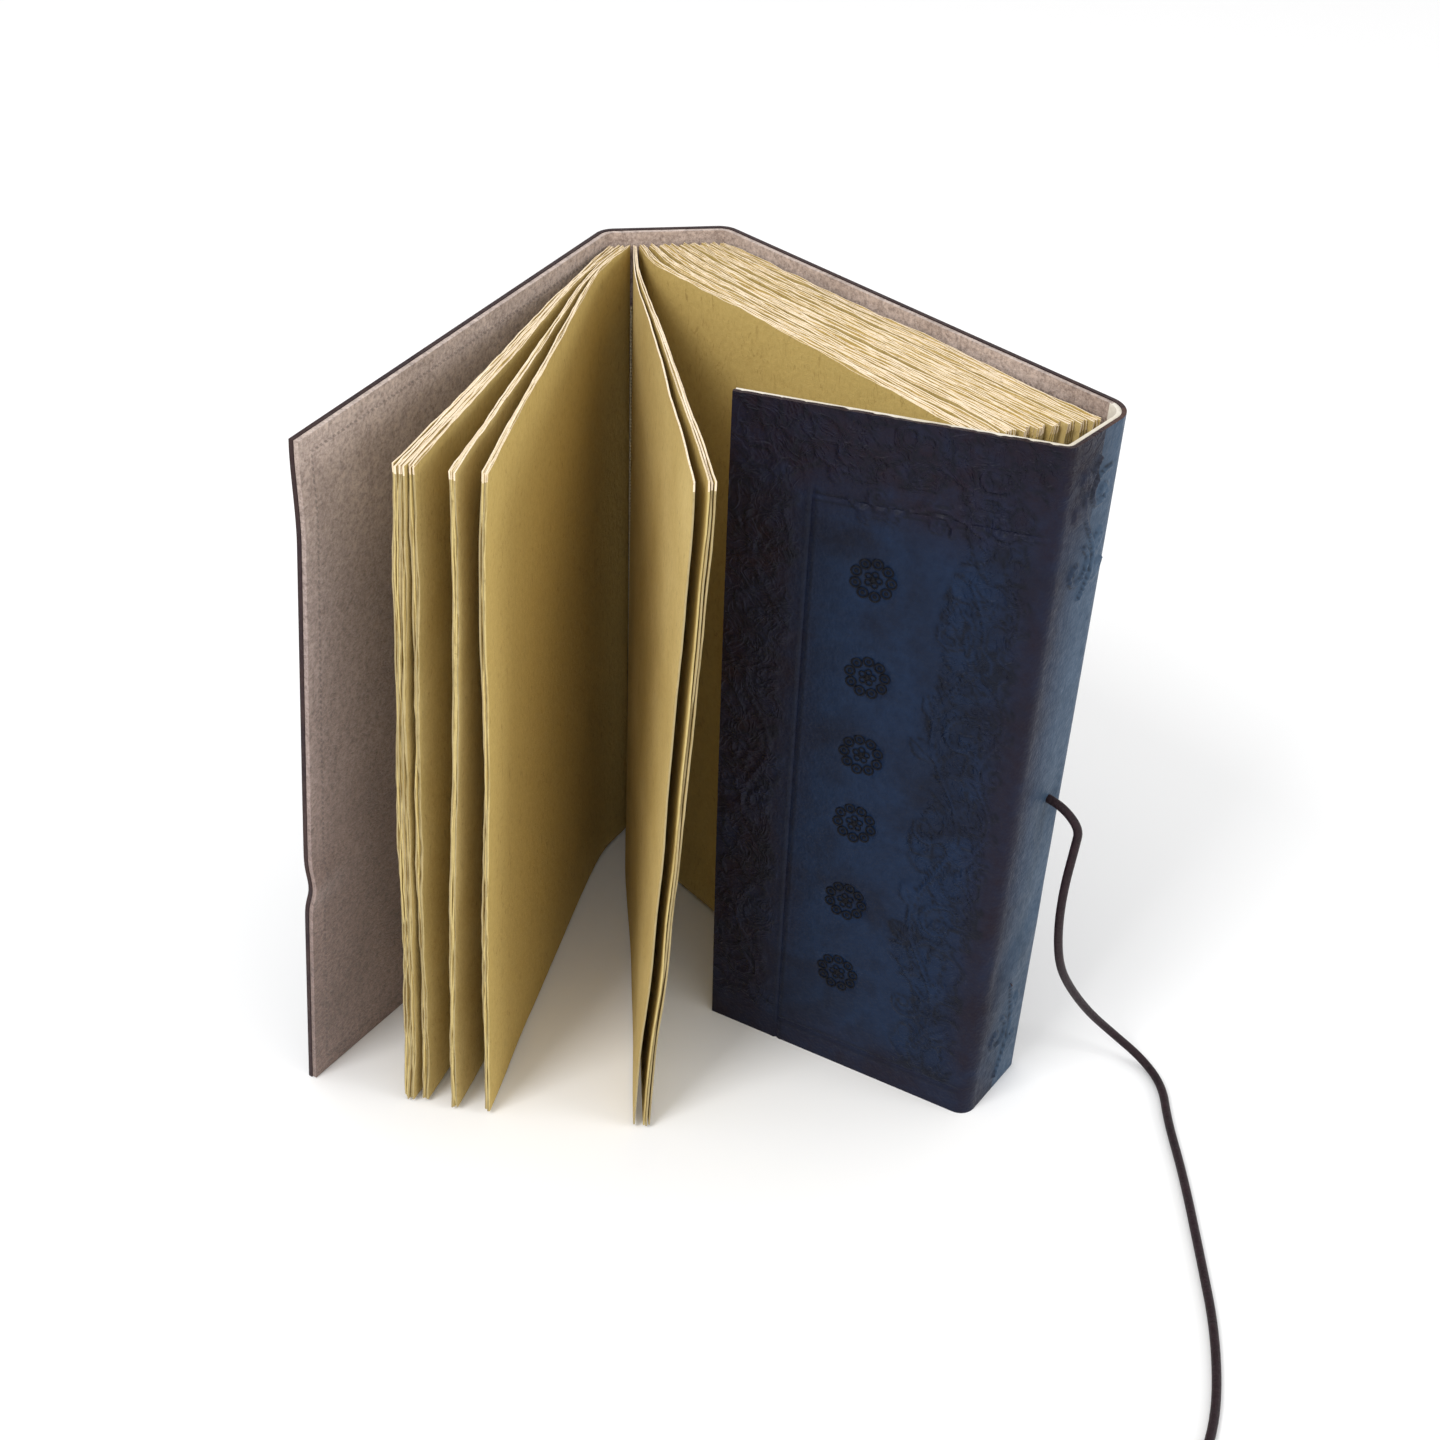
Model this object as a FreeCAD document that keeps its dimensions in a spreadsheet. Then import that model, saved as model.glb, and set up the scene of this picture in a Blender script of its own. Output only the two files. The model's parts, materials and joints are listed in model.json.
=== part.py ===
# Leather scrapbook album with a fore-edge wrap, a flap, a tie cord and hand-made leaves,
# standing open on its tail edge.  Millimetres, +Z up.  The origin is on the ground under
# the middle of the spine, the spine runs along X and the book opens towards -Y.
import FreeCAD
import Part
import math
import os
import Sketcher

SIZES = (
    ("bookHeight", 230.0),        # leather, tail to head
    ("spineWidth", 38.4),         # between the two spine folds
    ("coverWidth", 158.5),        # fold to fold, each cover
    ("wrapWidth", 30.4),          # strip of hide that closes the fore-edge
    ("flapWidth", 91.5),          # flap that lies over the other cover when shut
    ("leatherThickness", 1.3),
    ("liningThickness", 1.4),
    ("boardThickness", 0.7),
    ("boardInset", 5.0),          # from the edge of a panel to its stiffener
    ("foldClearance", 0.25),      # running gap between two panels at a fold
    ("backHead", -125.2),         # plan direction of each panel at the head ...
    ("backFoot", -131.2),         # ... and at the foot: the soft hide stands slightly twisted
    ("frontHead", -55.0),
    ("frontFoot", -59.3),
    ("wrapHead", -137.7),
    ("wrapFoot", -133.0),
    ("flapHead", 154.3),
    ("flapFoot", 142.0),
    ("leafWidth", 151.0),
    ("leafHeight", 225.5),
    ("leafLift", 1.0),            # leaves end this far above the tail edge of the hide
    ("paperThickness", 0.20),
    ("leafGap", 0.05),            # air between two leaves at the fold
    ("foreEdgeGap", 0.15),        # air between two leaves at the fore-edge
    ("turnedLeafGap", 1.25),      # the same in the half signature that stands fanned
    ("signatureMargin", 2.15),    # outer signature to the spine fold
    ("foldStandoff", 0.35),       # spine lining to the back of a signature's fold
    ("threadGap", 0.45),          # half the opening in the gutter, where the thread lies
    ("partedGap", 0.03),          # half the opening in a fold whose leaves stand parted
    ("threadDiameter", 0.6),
    ("stitchWidth", 0.9),
    ("stitchHeight", 0.5),
    ("stitchLength", 62.0),
    ("stitchInset", 24.0),        # from the ends of the spine to the outer stitch ends
    ("cordDiameter", 2.7),
    ("holeClearance", 0.35),      # round the cord in the wrap
    ("holeHeight", 108.6),
    ("holeSetback", 9.0),         # from the fore-edge fold to the hole
    ("coilRadius", 15.0),         # middle of the coil's turns
    ("coilLayers", 2.0),
    ("knotDiameter", 6.4),
)

SHEETS_PER_SIGNATURE = 4
SIGNATURE_COUNT = 12
OPEN_SIGNATURE = 3
# Directions of the leaves at head and foot, in degrees from -Y, positive towards +X.
SIGNATURE_1 = (-26.4, -30.2)
SIGNATURE_2_BACK = (-25.9, -29.4)
SIGNATURE_2_FRONT = (-22.2, -25.9)
OPEN_LEFT = (-19.7, -22.5)
OPEN_RIGHT = (0.5, -4.8)
# The block that lies on the front cover fans out between these two directions.
BLOCK_FIRST = (30.0, 27.3)
BLOCK_LAST = (34.3, 29.6)

# Centre line of the tie cord where it hangs and lies free, chosen point by point: it leaves
# the hole, folds over under its own weight, drops beside the fore-edge and runs forwards.
CORD_ROUTE = (
    (100.9, -142.0, 108.6),
    (106.2, -147.9, 103.4),
    (105.9, -147.4, 96.5),
    (103.5, -149.6, 82.0),
    (103.8, -149.2, 66.0),
    (106.6, -147.2, 50.0),
    (113.0, -142.8, 36.0),
    (122.4, -138.2, 20.6),
    (132.6, -135.8, 8.4),
    (141.6, -141.4, 1.8),
    (144.6, -154.0, 1.5),
    (141.6, -169.0, 1.5),
    (139.4, -192.0, 1.5),
    (134.8, -222.0, 1.5),
    (129.8, -253.0, 1.5),
    (119.8, -283.0, 1.5),
    (104.2, -303.0, 1.5),
)
COIL_CENTRE = (117.2, -312.8)
END_KNOT = (95.6, -314.0)
ARC_SHARE = 0.45

doc = FreeCAD.newDocument("album")
sheet = doc.addObject("Spreadsheet::Sheet", "Sizes")
for row, (alias, value) in enumerate(SIZES, start=1):
    sheet.set("A%d" % row, alias)
    sheet.set("B%d" % row, str(value))
    sheet.setAlias("B%d" % row, alias)
doc.recompute()

Z_AXIS = FreeCAD.Vector(0, 0, 1)
NODES = []


def size(alias):
    return float(sheet.get(alias))


def value_of(expression):
    """The number that an expression on the sheet gives."""
    return float(sheet.evalExpression(expression))


def linked(text):
    """Turn bare aliases in a formula into references to the sheet."""
    for alias, _ in SIZES:
        text = text.replace("$" + alias, "Sizes." + alias)
    return text


class Station:
    """A plan position, a direction and a height, each a formula on the sheet."""

    def __init__(self, x, y, angle, height):
        self.x = linked(x)
        self.y = linked(y)
        self.angle = linked(angle)
        self.height = linked(height)

    def apply(self, target, prop):
        setattr(target, prop, FreeCAD.Placement(FreeCAD.Vector(), FreeCAD.Rotation(Z_AXIS, 1)))
        target.setExpression(prop + ".Base.x", self.x)
        target.setExpression(prop + ".Base.y", self.y)
        target.setExpression(prop + ".Base.z", self.height)
        target.setExpression(prop + ".Rotation.Angle", self.angle)

    def point(self, along, across=0.0):
        """Where a point of the panel lies: along its width and out from its middle."""
        turn = math.radians(value_of(self.angle))
        x = value_of(self.x) + along * math.cos(turn) - across * math.sin(turn)
        y = value_of(self.y) + along * math.sin(turn) + across * math.cos(turn)
        return FreeCAD.Vector(x, y, value_of(self.height))


def outline(sketch, corners):
    """Draw a closed outline whose corners are formulas, and bind each corner to them."""
    corners = [(linked(x), linked(y)) for x, y in corners]
    points = [FreeCAD.Vector(value_of(x), value_of(y), 0) for x, y in corners]
    count = len(points)
    for index in range(count):
        sketch.addGeometry(Part.LineSegment(points[index], points[(index + 1) % count]), False)
    for index in range(count):
        following = (index + 1) % count
        sketch.addConstraint(Sketcher.Constraint("Coincident", index, 2, following, 1))
    for index, (x, y) in enumerate(corners):
        for kind, formula, number in (("DistanceX", x, points[index].x),
                                      ("DistanceY", y, points[index].y)):
            row = sketch.addConstraint(Sketcher.Constraint(kind, -1, 1, index, 1, number))
            name = "%s%d" % (kind[-1].lower() + "Corner", index)
            sketch.renameConstraint(row, name)
            sketch.setExpression("Constraints." + name, formula)


def new_body(label):
    body = doc.addObject("PartDesign::Body", label)
    body.Label = label
    NODES.append(body)
    return body


def plane_of(body, role):
    return [plane for plane in body.Origin.OriginFeatures if plane.Role == role][0]


def body_sketch(body, name, station, corners):
    sketch = body.newObject("Sketcher::SketchObject", name)
    sketch.AttachmentSupport = [(plane_of(body, "XY_Plane"), "")]
    sketch.MapMode = "FlatFace"
    station.apply(sketch, "AttachmentOffset")
    outline(sketch, corners)
    return sketch


def body_loft(body, name, kind, foot, head, corners):
    """A straight-sided loft between the same outline at two stations."""
    lower = body_sketch(body, name + "_foot", foot, corners)
    upper = body_sketch(body, name + "_head", head, corners)
    loft = body.newObject("PartDesign::" + kind, name)
    loft.Profile = lower
    loft.Sections = [upper]
    loft.Ruled = True
    body.Tip = loft
    return loft


# ---- stations of the panels: each starts on its fold line -------------------------------

def panel_stations(x_foot, y_foot, x_head, y_head, name):
    foot = Station(x_foot, y_foot, "$%sFoot" % name, "0")
    head = Station(x_head, y_head, "$%sHead" % name, "$bookHeight")
    return foot, head


def beyond(station, width):
    """Formulas of the point at the far fold of a panel."""
    x = "%s + $%s * cos(%s)" % (station.x, width, station.angle)
    y = "%s + $%s * sin(%s)" % (station.y, width, station.angle)
    return x, y


SPINE = (Station("-$spineWidth / 2", "0", "0", "0"),
         Station("-$spineWidth / 2", "0", "0", "$bookHeight"))
BACK = panel_stations("-$spineWidth / 2", "0", "-$spineWidth / 2", "0", "back")
FRONT = panel_stations("$spineWidth / 2", "0", "$spineWidth / 2", "0", "front")
WRAP = panel_stations(*beyond(FRONT[0], "coverWidth"), *beyond(FRONT[1], "coverWidth"), "wrap")
FLAP = panel_stations(*beyond(WRAP[0], "wrapWidth"), *beyond(WRAP[1], "wrapWidth"), "flap")


def part_way(stations, inset):
    """The two stations moved in from foot and head by the same distance."""
    foot, head = stations
    share = "(%s) / $bookHeight" % inset
    turn = "(%s - (%s))" % (head.angle, foot.angle)
    shift_x = "(%s - (%s))" % (head.x, foot.x)
    shift_y = "(%s - (%s))" % (head.y, foot.y)
    lower = Station("%s + %s * %s" % (foot.x, shift_x, share),
                    "%s + %s * %s" % (foot.y, shift_y, share),
                    "%s + %s * %s" % (foot.angle, turn, share), inset)
    upper = Station("%s - %s * %s" % (head.x, shift_x, share),
                    "%s - %s * %s" % (head.y, shift_y, share),
                    "%s - %s * %s" % (head.angle, turn, share), "$bookHeight - (%s)" % inset)
    return lower, upper


# ---- hide, lining and stiffeners ---------------------------------------------------------
# Across a panel the hide is centred on the fold lines.  The side of the lining, +1 or -1,
# says which way is into the book.

def hide_corners(width, start_nose, end_nose):
    """Slab with a blunt nose at each fold it owns, cut back at a fold owned by another."""
    half = "$leatherThickness / 2"
    nose = "$leatherThickness * 0.3"
    back = "($leatherThickness / 2 + $foldClearance)"
    corners = []
    if start_nose:
        corners += [("0", half), ("-" + nose, nose), ("-" + nose, "-" + nose), ("0", "-" + half)]
    else:
        corners += [(back, half), (back, "-" + half)]
    if end_nose:
        corners += [(width, "-" + half), (width + " + " + nose, "-" + nose),
                    (width + " + " + nose, nose), (width, half)]
    else:
        corners += [(width, "-" + half), (width, half)]
    return corners


def lining_corners(side, start, end):
    near = "%d * $leatherThickness / 2" % side
    far = "%d * ($leatherThickness / 2 + $liningThickness)" % side
    return [(start, near), (start, far), (end, far), (end, near)]


def board_corners(side, start, end, relief="0"):
    """Outline of a stiffener; the recess that it is let into reaches past the lining's face
    by the relief."""
    near = "%d * ($leatherThickness / 2 - %s)" % (side, relief)
    far = "%d * ($leatherThickness / 2 + $boardThickness)" % side
    first = "(%s) + $boardInset" % start
    last = "(%s) - $boardInset" % end
    return [(first, near), (first, far), (last, far), (last, near)]


def lined_panel(name, stations, side, start, end, with_board):
    """Lining of a panel and, let into it, the stiffener card under the hide."""
    lining = new_body(name + "_lining")
    body_loft(lining, name + "_lining_slab", "AdditiveLoft", *stations,
              lining_corners(side, start, end))
    if not with_board:
        return lining
    inner = part_way(stations, "$boardInset")
    body_loft(lining, name + "_lining_recess", "SubtractiveLoft", *inner,
              board_corners(side, start, end, "$leatherThickness / 4"))
    board = new_body(name + "_board")
    body_loft(board, name + "_board_slab", "AdditiveLoft", *inner,
              board_corners(side, start, end))
    return lining


def hide_panel(name, stations, width, start_nose=False, end_nose=False):
    body = new_body(name + "_leather")
    body_loft(body, name + "_leather_slab", "AdditiveLoft", *stations,
              hide_corners(width, start_nose, end_nose))
    return body


LINING_START = "($leatherThickness / 2 + $foldClearance + 0.7)"
FOLD_BACK = "($leatherThickness / 2 + $liningThickness + 0.3)"

spine_hide = hide_panel("spine", SPINE, "$spineWidth", start_nose=True, end_nose=True)
lined_panel("spine", SPINE, -1, "1.0", "$spineWidth - 1.0", True)
hide_panel("back_cover", BACK, "$coverWidth")
lined_panel("back_cover", BACK, 1, LINING_START, "$coverWidth", True)
hide_panel("front_cover", FRONT, "$coverWidth", end_nose=True)
lined_panel("front_cover", FRONT, -1, LINING_START, "$coverWidth - " + FOLD_BACK, True)
wrap_hide = hide_panel("fore_edge", WRAP, "$wrapWidth", end_nose=True)
wrap_lining = lined_panel("fore_edge", WRAP, -1, LINING_START, "$wrapWidth - " + FOLD_BACK, False)
hide_panel("flap", FLAP, "$flapWidth")
lined_panel("flap", FLAP, -1, LINING_START, "$flapWidth", False)


# ---- hole for the cord through the fore-edge wrap ----------------------------------------

def wrap_point(along, across, height):
    """A point of the wrap, between its foot and head stations."""
    share = height / size("bookHeight")
    low = WRAP[0].point(along, across)
    high = WRAP[1].point(along, across)
    point = low + (high - low) * share
    return FreeCAD.Vector(point.x, point.y, height)


HOLE_AT = wrap_point(size("holeSetback"), 0.0, size("holeHeight"))
HOLE_OUT = wrap_point(size("holeSetback"), 1.0, size("holeHeight")) - HOLE_AT
HOLE_OUT.normalize()


def cut_hole(body):
    """Groove away the cord hole: a rectangle turned about the hole's own axis."""
    turned = FreeCAD.Rotation(Z_AXIS, HOLE_OUT)
    sketch = body.newObject("Sketcher::SketchObject", body.Label + "_hole_circle")
    sketch.AttachmentSupport = [(plane_of(body, "XY_Plane"), "")]
    sketch.MapMode = "FlatFace"
    sketch.AttachmentOffset = FreeCAD.Placement(HOLE_AT - HOLE_OUT * 10.0, turned)
    circle = Part.Circle(FreeCAD.Vector(), Z_AXIS, size("cordDiameter") / 2)
    sketch.addGeometry(circle, False)
    sketch.addConstraint(Sketcher.Constraint("Coincident", 0, 3, -1, 1))
    row = sketch.addConstraint(Sketcher.Constraint("Radius", 0, size("cordDiameter") / 2))
    sketch.renameConstraint(row, "holeRadius")
    sketch.setExpression("Constraints.holeRadius", linked("$cordDiameter / 2 + $holeClearance"))
    pocket = body.newObject("PartDesign::Pocket", body.Label + "_hole")
    pocket.Profile = sketch
    pocket.Reversed = True
    pocket.Length = 20.0
    body.Tip = pocket


doc.recompute()
for pierced in (wrap_hide, wrap_lining):
    before = pierced.Shape.Volume
    cut_hole(pierced)
    doc.recompute()
    if not before - pierced.Shape.Volume > 1.0:
        raise RuntimeError("the cord hole cuts nothing from " + pierced.Label)


# ---- signatures: nested folded sheets ----------------------------------------------------

FOLD_Y = ("-($leatherThickness / 2 + $liningThickness + $foldStandoff + %d * ($paperThickness"
          " + $leafGap))" % SHEETS_PER_SIGNATURE)


def signature_stations(number, directions):
    """Foot and head stations of a signature's fold; X of the station runs along its leaves."""
    pitch = "($spineWidth - 2 * $signatureMargin) / %d" % (SIGNATURE_COUNT - 1)
    x = "-$spineWidth / 2 + $signatureMargin + %d * %s" % (number - 1, pitch)
    head_angle, foot_angle = directions
    foot = Station(x, FOLD_Y, "%.3f" % (foot_angle - 90.0), "$leafLift")
    head = Station(x, FOLD_Y, "%.3f" % (head_angle - 90.0), "$leafLift + $leafHeight")
    return foot, head


def sheet_loft(name, foot, head, corners):
    sections = []
    for level, station in (("foot", foot), ("head", head)):
        sketch = doc.addObject("Sketcher::SketchObject", name + "_" + level)
        station.apply(sketch, "Placement")
        outline(sketch, corners)
        sections.append(sketch)
    loft = doc.addObject("Part::Loft", name)
    loft.Sections = sections
    loft.Solid = True
    loft.Ruled = True
    return loft


def fold_offset(layers):
    return "%g * ($paperThickness + $leafGap)" % layers


def edge_offset(layers):
    return "%g * ($paperThickness + $foreEdgeGap)" % layers


def folded_corners(layers):
    """A sheet folded in two round the sheets inside it; the stack opens to the fore-edge."""
    out_fold = fold_offset(layers)
    in_fold = out_fold + " - $paperThickness"
    out_edge = edge_offset(layers)
    in_edge = out_edge + " - $paperThickness"
    round_fold = "0.6 * (%s)" % out_fold
    round_inner = "0.6 * (%s)" % in_fold
    return [("$leafWidth", "-(%s)" % out_edge), ("0", "-(%s)" % out_fold),
            ("-(%s)" % out_fold, "-(%s)" % round_fold), ("-(%s)" % out_fold, round_fold),
            ("0", out_fold), ("$leafWidth", out_edge), ("$leafWidth", in_edge), ("0", in_fold),
            ("-(%s)" % in_fold, round_inner), ("-(%s)" % in_fold, "-(%s)" % round_inner),
            ("0", "-(%s)" % in_fold), ("$leafWidth", "-(%s)" % in_edge)]


def leaf_corners(side, layers, gap, hollow):
    """One leaf of a signature that stands open, beside the hollow of its fold."""
    near_fold = "$%s + %g * ($paperThickness + $leafGap)" % (hollow, layers)
    near_edge = "$%s + %g * ($paperThickness + $%s)" % (hollow, layers, gap)
    return [("0", "%d * (%s)" % (side, near_fold)),
            ("0", "%d * (%s + $paperThickness)" % (side, near_fold)),
            ("$leafWidth", "%d * (%s + $paperThickness)" % (side, near_edge)),
            ("$leafWidth", "%d * (%s)" % (side, near_edge))]


def collect(label, pieces):
    compound = doc.addObject("Part::Compound", label)
    compound.Label = label
    compound.Links = pieces
    NODES.append(compound)
    return compound


def closed_signature(number, directions):
    label = "signature_%02d" % number
    foot, head = signature_stations(number, directions)
    pieces = []
    for layers in range(1, SHEETS_PER_SIGNATURE + 1):
        name = "%s_sheet_%d" % (label, layers)
        corners = folded_corners(layers)
        pieces.append(sheet_loft(name, foot, head, corners))
    return collect(label, pieces)


def half_signature(number, suffix, directions, side, gap, hollow):
    label = "signature_%02d_%s" % (number, suffix)
    foot, head = signature_stations(number, directions)
    pieces = []
    for layers in range(SHEETS_PER_SIGNATURE):
        name = "%s_leaf_%d" % (label, layers + 1)
        pieces.append(sheet_loft(name, foot, head, leaf_corners(side, layers, gap, hollow)))
    return collect(label, pieces)


closed_signature(1, SIGNATURE_1)
half_signature(2, "back", SIGNATURE_2_BACK, -1, "foreEdgeGap", "partedGap")
half_signature(2, "front", SIGNATURE_2_FRONT, 1, "foreEdgeGap", "partedGap")
half_signature(OPEN_SIGNATURE, "left", OPEN_LEFT, -1, "foreEdgeGap", "threadGap")
half_signature(OPEN_SIGNATURE, "right", OPEN_RIGHT, 1, "turnedLeafGap", "threadGap")
block = range(OPEN_SIGNATURE + 1, SIGNATURE_COUNT + 1)
for number in block:
    share = (number - block[0]) / (len(block) - 1)
    fan = tuple(first + (last - first) * share for first, last in zip(BLOCK_FIRST, BLOCK_LAST))
    closed_signature(number, fan)


# ---- sewing: long stitches on the spine, thread in the open gutter -----------------------

stitches = new_body("spine_stitches")
stitch_foot = Station("-$spineWidth / 2 + $signatureMargin", "$leatherThickness / 2", "0",
                      "$stitchInset")
stitch_row = body_sketch(stitches, "stitch_section", stitch_foot, [
    ("-$stitchWidth / 2", "0"), ("$stitchWidth / 2", "0"),
    ("$stitchWidth / 4", "$stitchHeight"), ("-$stitchWidth / 4", "$stitchHeight")])
pad = stitches.newObject("PartDesign::Pad", "stitch")
pad.Profile = stitch_row
pad.setExpression("Length", "Sizes.stitchLength")
doc.recompute()
rows = stitches.newObject("PartDesign::MultiTransform", "stitch_columns")
rows.Originals = [pad]
across = doc.addObject("PartDesign::LinearPattern", "stitches_across")
across.Direction = (plane_of(stitches, "X_Axis"), [""])
across.setExpression("Length", linked("$spineWidth - 2 * $signatureMargin"))
across.Occurrences = SIGNATURE_COUNT
up = doc.addObject("PartDesign::LinearPattern", "stitches_up")
up.Direction = (plane_of(stitches, "Z_Axis"), [""])
up.setExpression("Length", linked("$bookHeight - 2 * $stitchInset - $stitchLength"))
up.Occurrences = 2
stitches.Group = stitches.Group + [across, up]
rows.Transformations = [across, up]
stitches.Tip = rows

thread = doc.addObject("Part::Cylinder", "gutter_thread")
thread.Label = "gutter_thread"
thread.setExpression("Radius", "Sizes.threadDiameter / 2")
thread.setExpression("Height", linked("$bookHeight - 2 * $stitchInset"))
thread_at = signature_stations(OPEN_SIGNATURE, OPEN_LEFT)[0]
thread.setExpression("Placement.Base.x", thread_at.x)
thread.setExpression("Placement.Base.y", thread_at.y)
thread.setExpression("Placement.Base.z", linked("$stitchInset"))
NODES.append(thread)


# ---- tie cord ----------------------------------------------------------------------------

def rounded_path(points):
    """Straight runs joined by the largest tangent arcs that their lengths allow."""
    edges = []
    start = points[0]
    radii = []
    for before, corner, after in zip(points, points[1:], points[2:]):
        arriving = corner - before
        leaving = after - corner
        turn = arriving.getAngle(leaving)
        trim = ARC_SHARE * min(arriving.Length, leaving.Length)
        radius = trim / math.tan(turn / 2)
        radii.append(radius)
        arriving.normalize()
        leaving.normalize()
        first = corner - arriving * trim
        last = corner + leaving * trim
        inward = (leaving - arriving).normalize()
        middle = corner + inward * (radius / math.cos(turn / 2) - radius)
        edges.append(Part.LineSegment(start, first).toShape())
        edges.append(Part.Arc(first, middle, last).toShape())
        start = last
    edges.append(Part.LineSegment(start, points[-1]).toShape())
    return Part.Wire(edges), radii


cord_radius = size("cordDiameter") / 2
knot_face = size("leatherThickness") / 2 + size("liningThickness") + 0.3
cord_start = HOLE_AT - HOLE_OUT * knot_face
cord_path, cord_radii = rounded_path([cord_start] + [FreeCAD.Vector(p) for p in CORD_ROUTE])
print("cord length %.1f" % cord_path.Length)
print("cord arc radii", " ".join("%.1f" % radius for radius in cord_radii))
cord_heading = FreeCAD.Vector(CORD_ROUTE[0]) - cord_start
section = Part.Wire(Part.Circle(cord_start, cord_heading, cord_radius).toShape())
cord = doc.addObject("Part::Feature", "tie_cord")
cord.Label = "tie_cord"
cord.Shape = cord_path.makePipeShell([section], True, False)
expected = math.pi * cord_radius ** 2 * cord_path.Length
print("hole at", HOLE_AT, "out", HOLE_OUT, "cord start", cord_start)
print("cord volume share %.4f" % (cord.Shape.Volume / expected))
if abs(cord.Shape.Volume / expected - 1) > 0.01:
    raise RuntimeError("the cord's volume is not its section times its length")
NODES.append(cord)


def ring_corners():
    inner = "$coilRadius - $cordDiameter"
    outer = "$coilRadius + $cordDiameter"
    top = "$cordDiameter * $coilLayers"
    return [(inner, "0"), (outer, "0"), (outer, top), (inner, top)]


def turned_body(label, centre, corners):
    """A ring or barrel turned about a vertical axis."""
    body = new_body(label)
    body.Placement = FreeCAD.Placement(FreeCAD.Vector(*centre, 0), FreeCAD.Rotation())
    sketch = body.newObject("Sketcher::SketchObject", label + "_section")
    sketch.AttachmentSupport = [(plane_of(body, "XZ_Plane"), "")]
    sketch.MapMode = "FlatFace"
    outline(sketch, corners)
    turned = body.newObject("PartDesign::Revolution", label + "_turned")
    turned.Profile = sketch
    turned.ReferenceAxis = (sketch, ["V_Axis"])
    turned.Angle = 360.0
    body.Tip = turned
    return body


def knot_corners():
    return [("0.3", "0"), ("$knotDiameter * 0.36", "0"), ("$knotDiameter / 2", "$cordDiameter * 0.7"),
            ("$knotDiameter / 2", "$cordDiameter * 1.4"), ("$knotDiameter * 0.36", "$cordDiameter * 2.1"),
            ("0.3", "$cordDiameter * 2.1")]


turned_body("tie_cord_coil", COIL_CENTRE, ring_corners())
turned_body("tie_cord_end_knot", END_KNOT, knot_corners())
stopper = turned_body("tie_cord_stopper_knot", (0.0, 0.0), knot_corners())
stopper.Placement = FreeCAD.Placement(cord_start, FreeCAD.Rotation(Z_AXIS, HOLE_OUT * -1))


# ---- check every object, then write one file for each node -------------------------------

doc.recompute()
for item in doc.Objects:
    faults = [state for state in item.State if state in ("Invalid", "Error")]
    if faults:
        raise RuntimeError("%s is %s" % (item.Label, faults))
os.makedirs("parts", exist_ok=True)
for node in NODES:
    shape = node.Shape
    if shape.isNull() or not shape.isValid():
        raise RuntimeError("bad shape in " + node.Label)
    shape.exportStep(os.path.join("parts", node.Label + ".step"))
    print("%-26s solids %2d  volume %10.1f" % (node.Label, len(shape.Solids), shape.Volume))
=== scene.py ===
"""Open leather album with hand-made leaves, standing on its tail edge.

Lengths are metres, in the frame of the CAD model: the spine runs along X, the album opens
towards -Y and stands on Z = 0.
"""
import json
import math

import bpy
import numpy as np
from mathutils import Matrix, Vector, noise

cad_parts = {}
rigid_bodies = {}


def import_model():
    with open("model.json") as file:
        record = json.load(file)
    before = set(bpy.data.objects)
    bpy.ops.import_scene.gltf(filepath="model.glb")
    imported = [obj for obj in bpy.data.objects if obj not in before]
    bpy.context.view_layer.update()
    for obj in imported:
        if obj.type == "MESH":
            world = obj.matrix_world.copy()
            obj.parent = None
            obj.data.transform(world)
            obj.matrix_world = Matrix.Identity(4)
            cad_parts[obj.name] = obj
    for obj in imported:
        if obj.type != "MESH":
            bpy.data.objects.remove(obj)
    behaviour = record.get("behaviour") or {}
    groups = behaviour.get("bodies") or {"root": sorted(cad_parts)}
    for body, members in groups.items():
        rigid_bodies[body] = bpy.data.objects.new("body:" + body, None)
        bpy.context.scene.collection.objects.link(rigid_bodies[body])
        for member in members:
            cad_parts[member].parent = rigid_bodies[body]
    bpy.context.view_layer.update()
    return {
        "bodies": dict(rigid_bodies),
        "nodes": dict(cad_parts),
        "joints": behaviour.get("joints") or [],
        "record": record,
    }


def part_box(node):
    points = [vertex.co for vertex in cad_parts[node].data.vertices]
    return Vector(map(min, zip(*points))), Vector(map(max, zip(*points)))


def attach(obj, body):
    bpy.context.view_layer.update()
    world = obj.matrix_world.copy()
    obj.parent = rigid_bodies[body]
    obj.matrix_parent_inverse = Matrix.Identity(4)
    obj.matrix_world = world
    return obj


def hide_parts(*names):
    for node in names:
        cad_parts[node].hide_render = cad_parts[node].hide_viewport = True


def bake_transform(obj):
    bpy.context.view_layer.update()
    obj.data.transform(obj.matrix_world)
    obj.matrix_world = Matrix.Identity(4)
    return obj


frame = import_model()

MM = 0.001
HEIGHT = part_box("spine_leather")[1][2]
HIDE = 1.3 * MM                 # thickness of the hide
LINING = 1.4 * MM
BOARD = 0.7 * MM                # thickness of the card in the covers
BOARD_INSET = 5 * MM            # from the cover's edges to the card
CORD = 2.7 * MM
LEAVES_PER_HALF = 4


# ---- helpers -------------------------------------------------------------------------------

def deselect():
    bpy.ops.object.select_all(action="DESELECT")


def make_active(piece):
    deselect()
    piece.select_set(True)
    bpy.context.view_layer.objects.active = piece


def apply_modifier(piece, kind, **settings):
    make_active(piece)
    modifier = piece.modifiers.new(kind.title(), kind)
    for key, value in settings.items():
        setattr(modifier, key, value)
    bpy.ops.object.modifier_apply(modifier=modifier.name)


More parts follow.
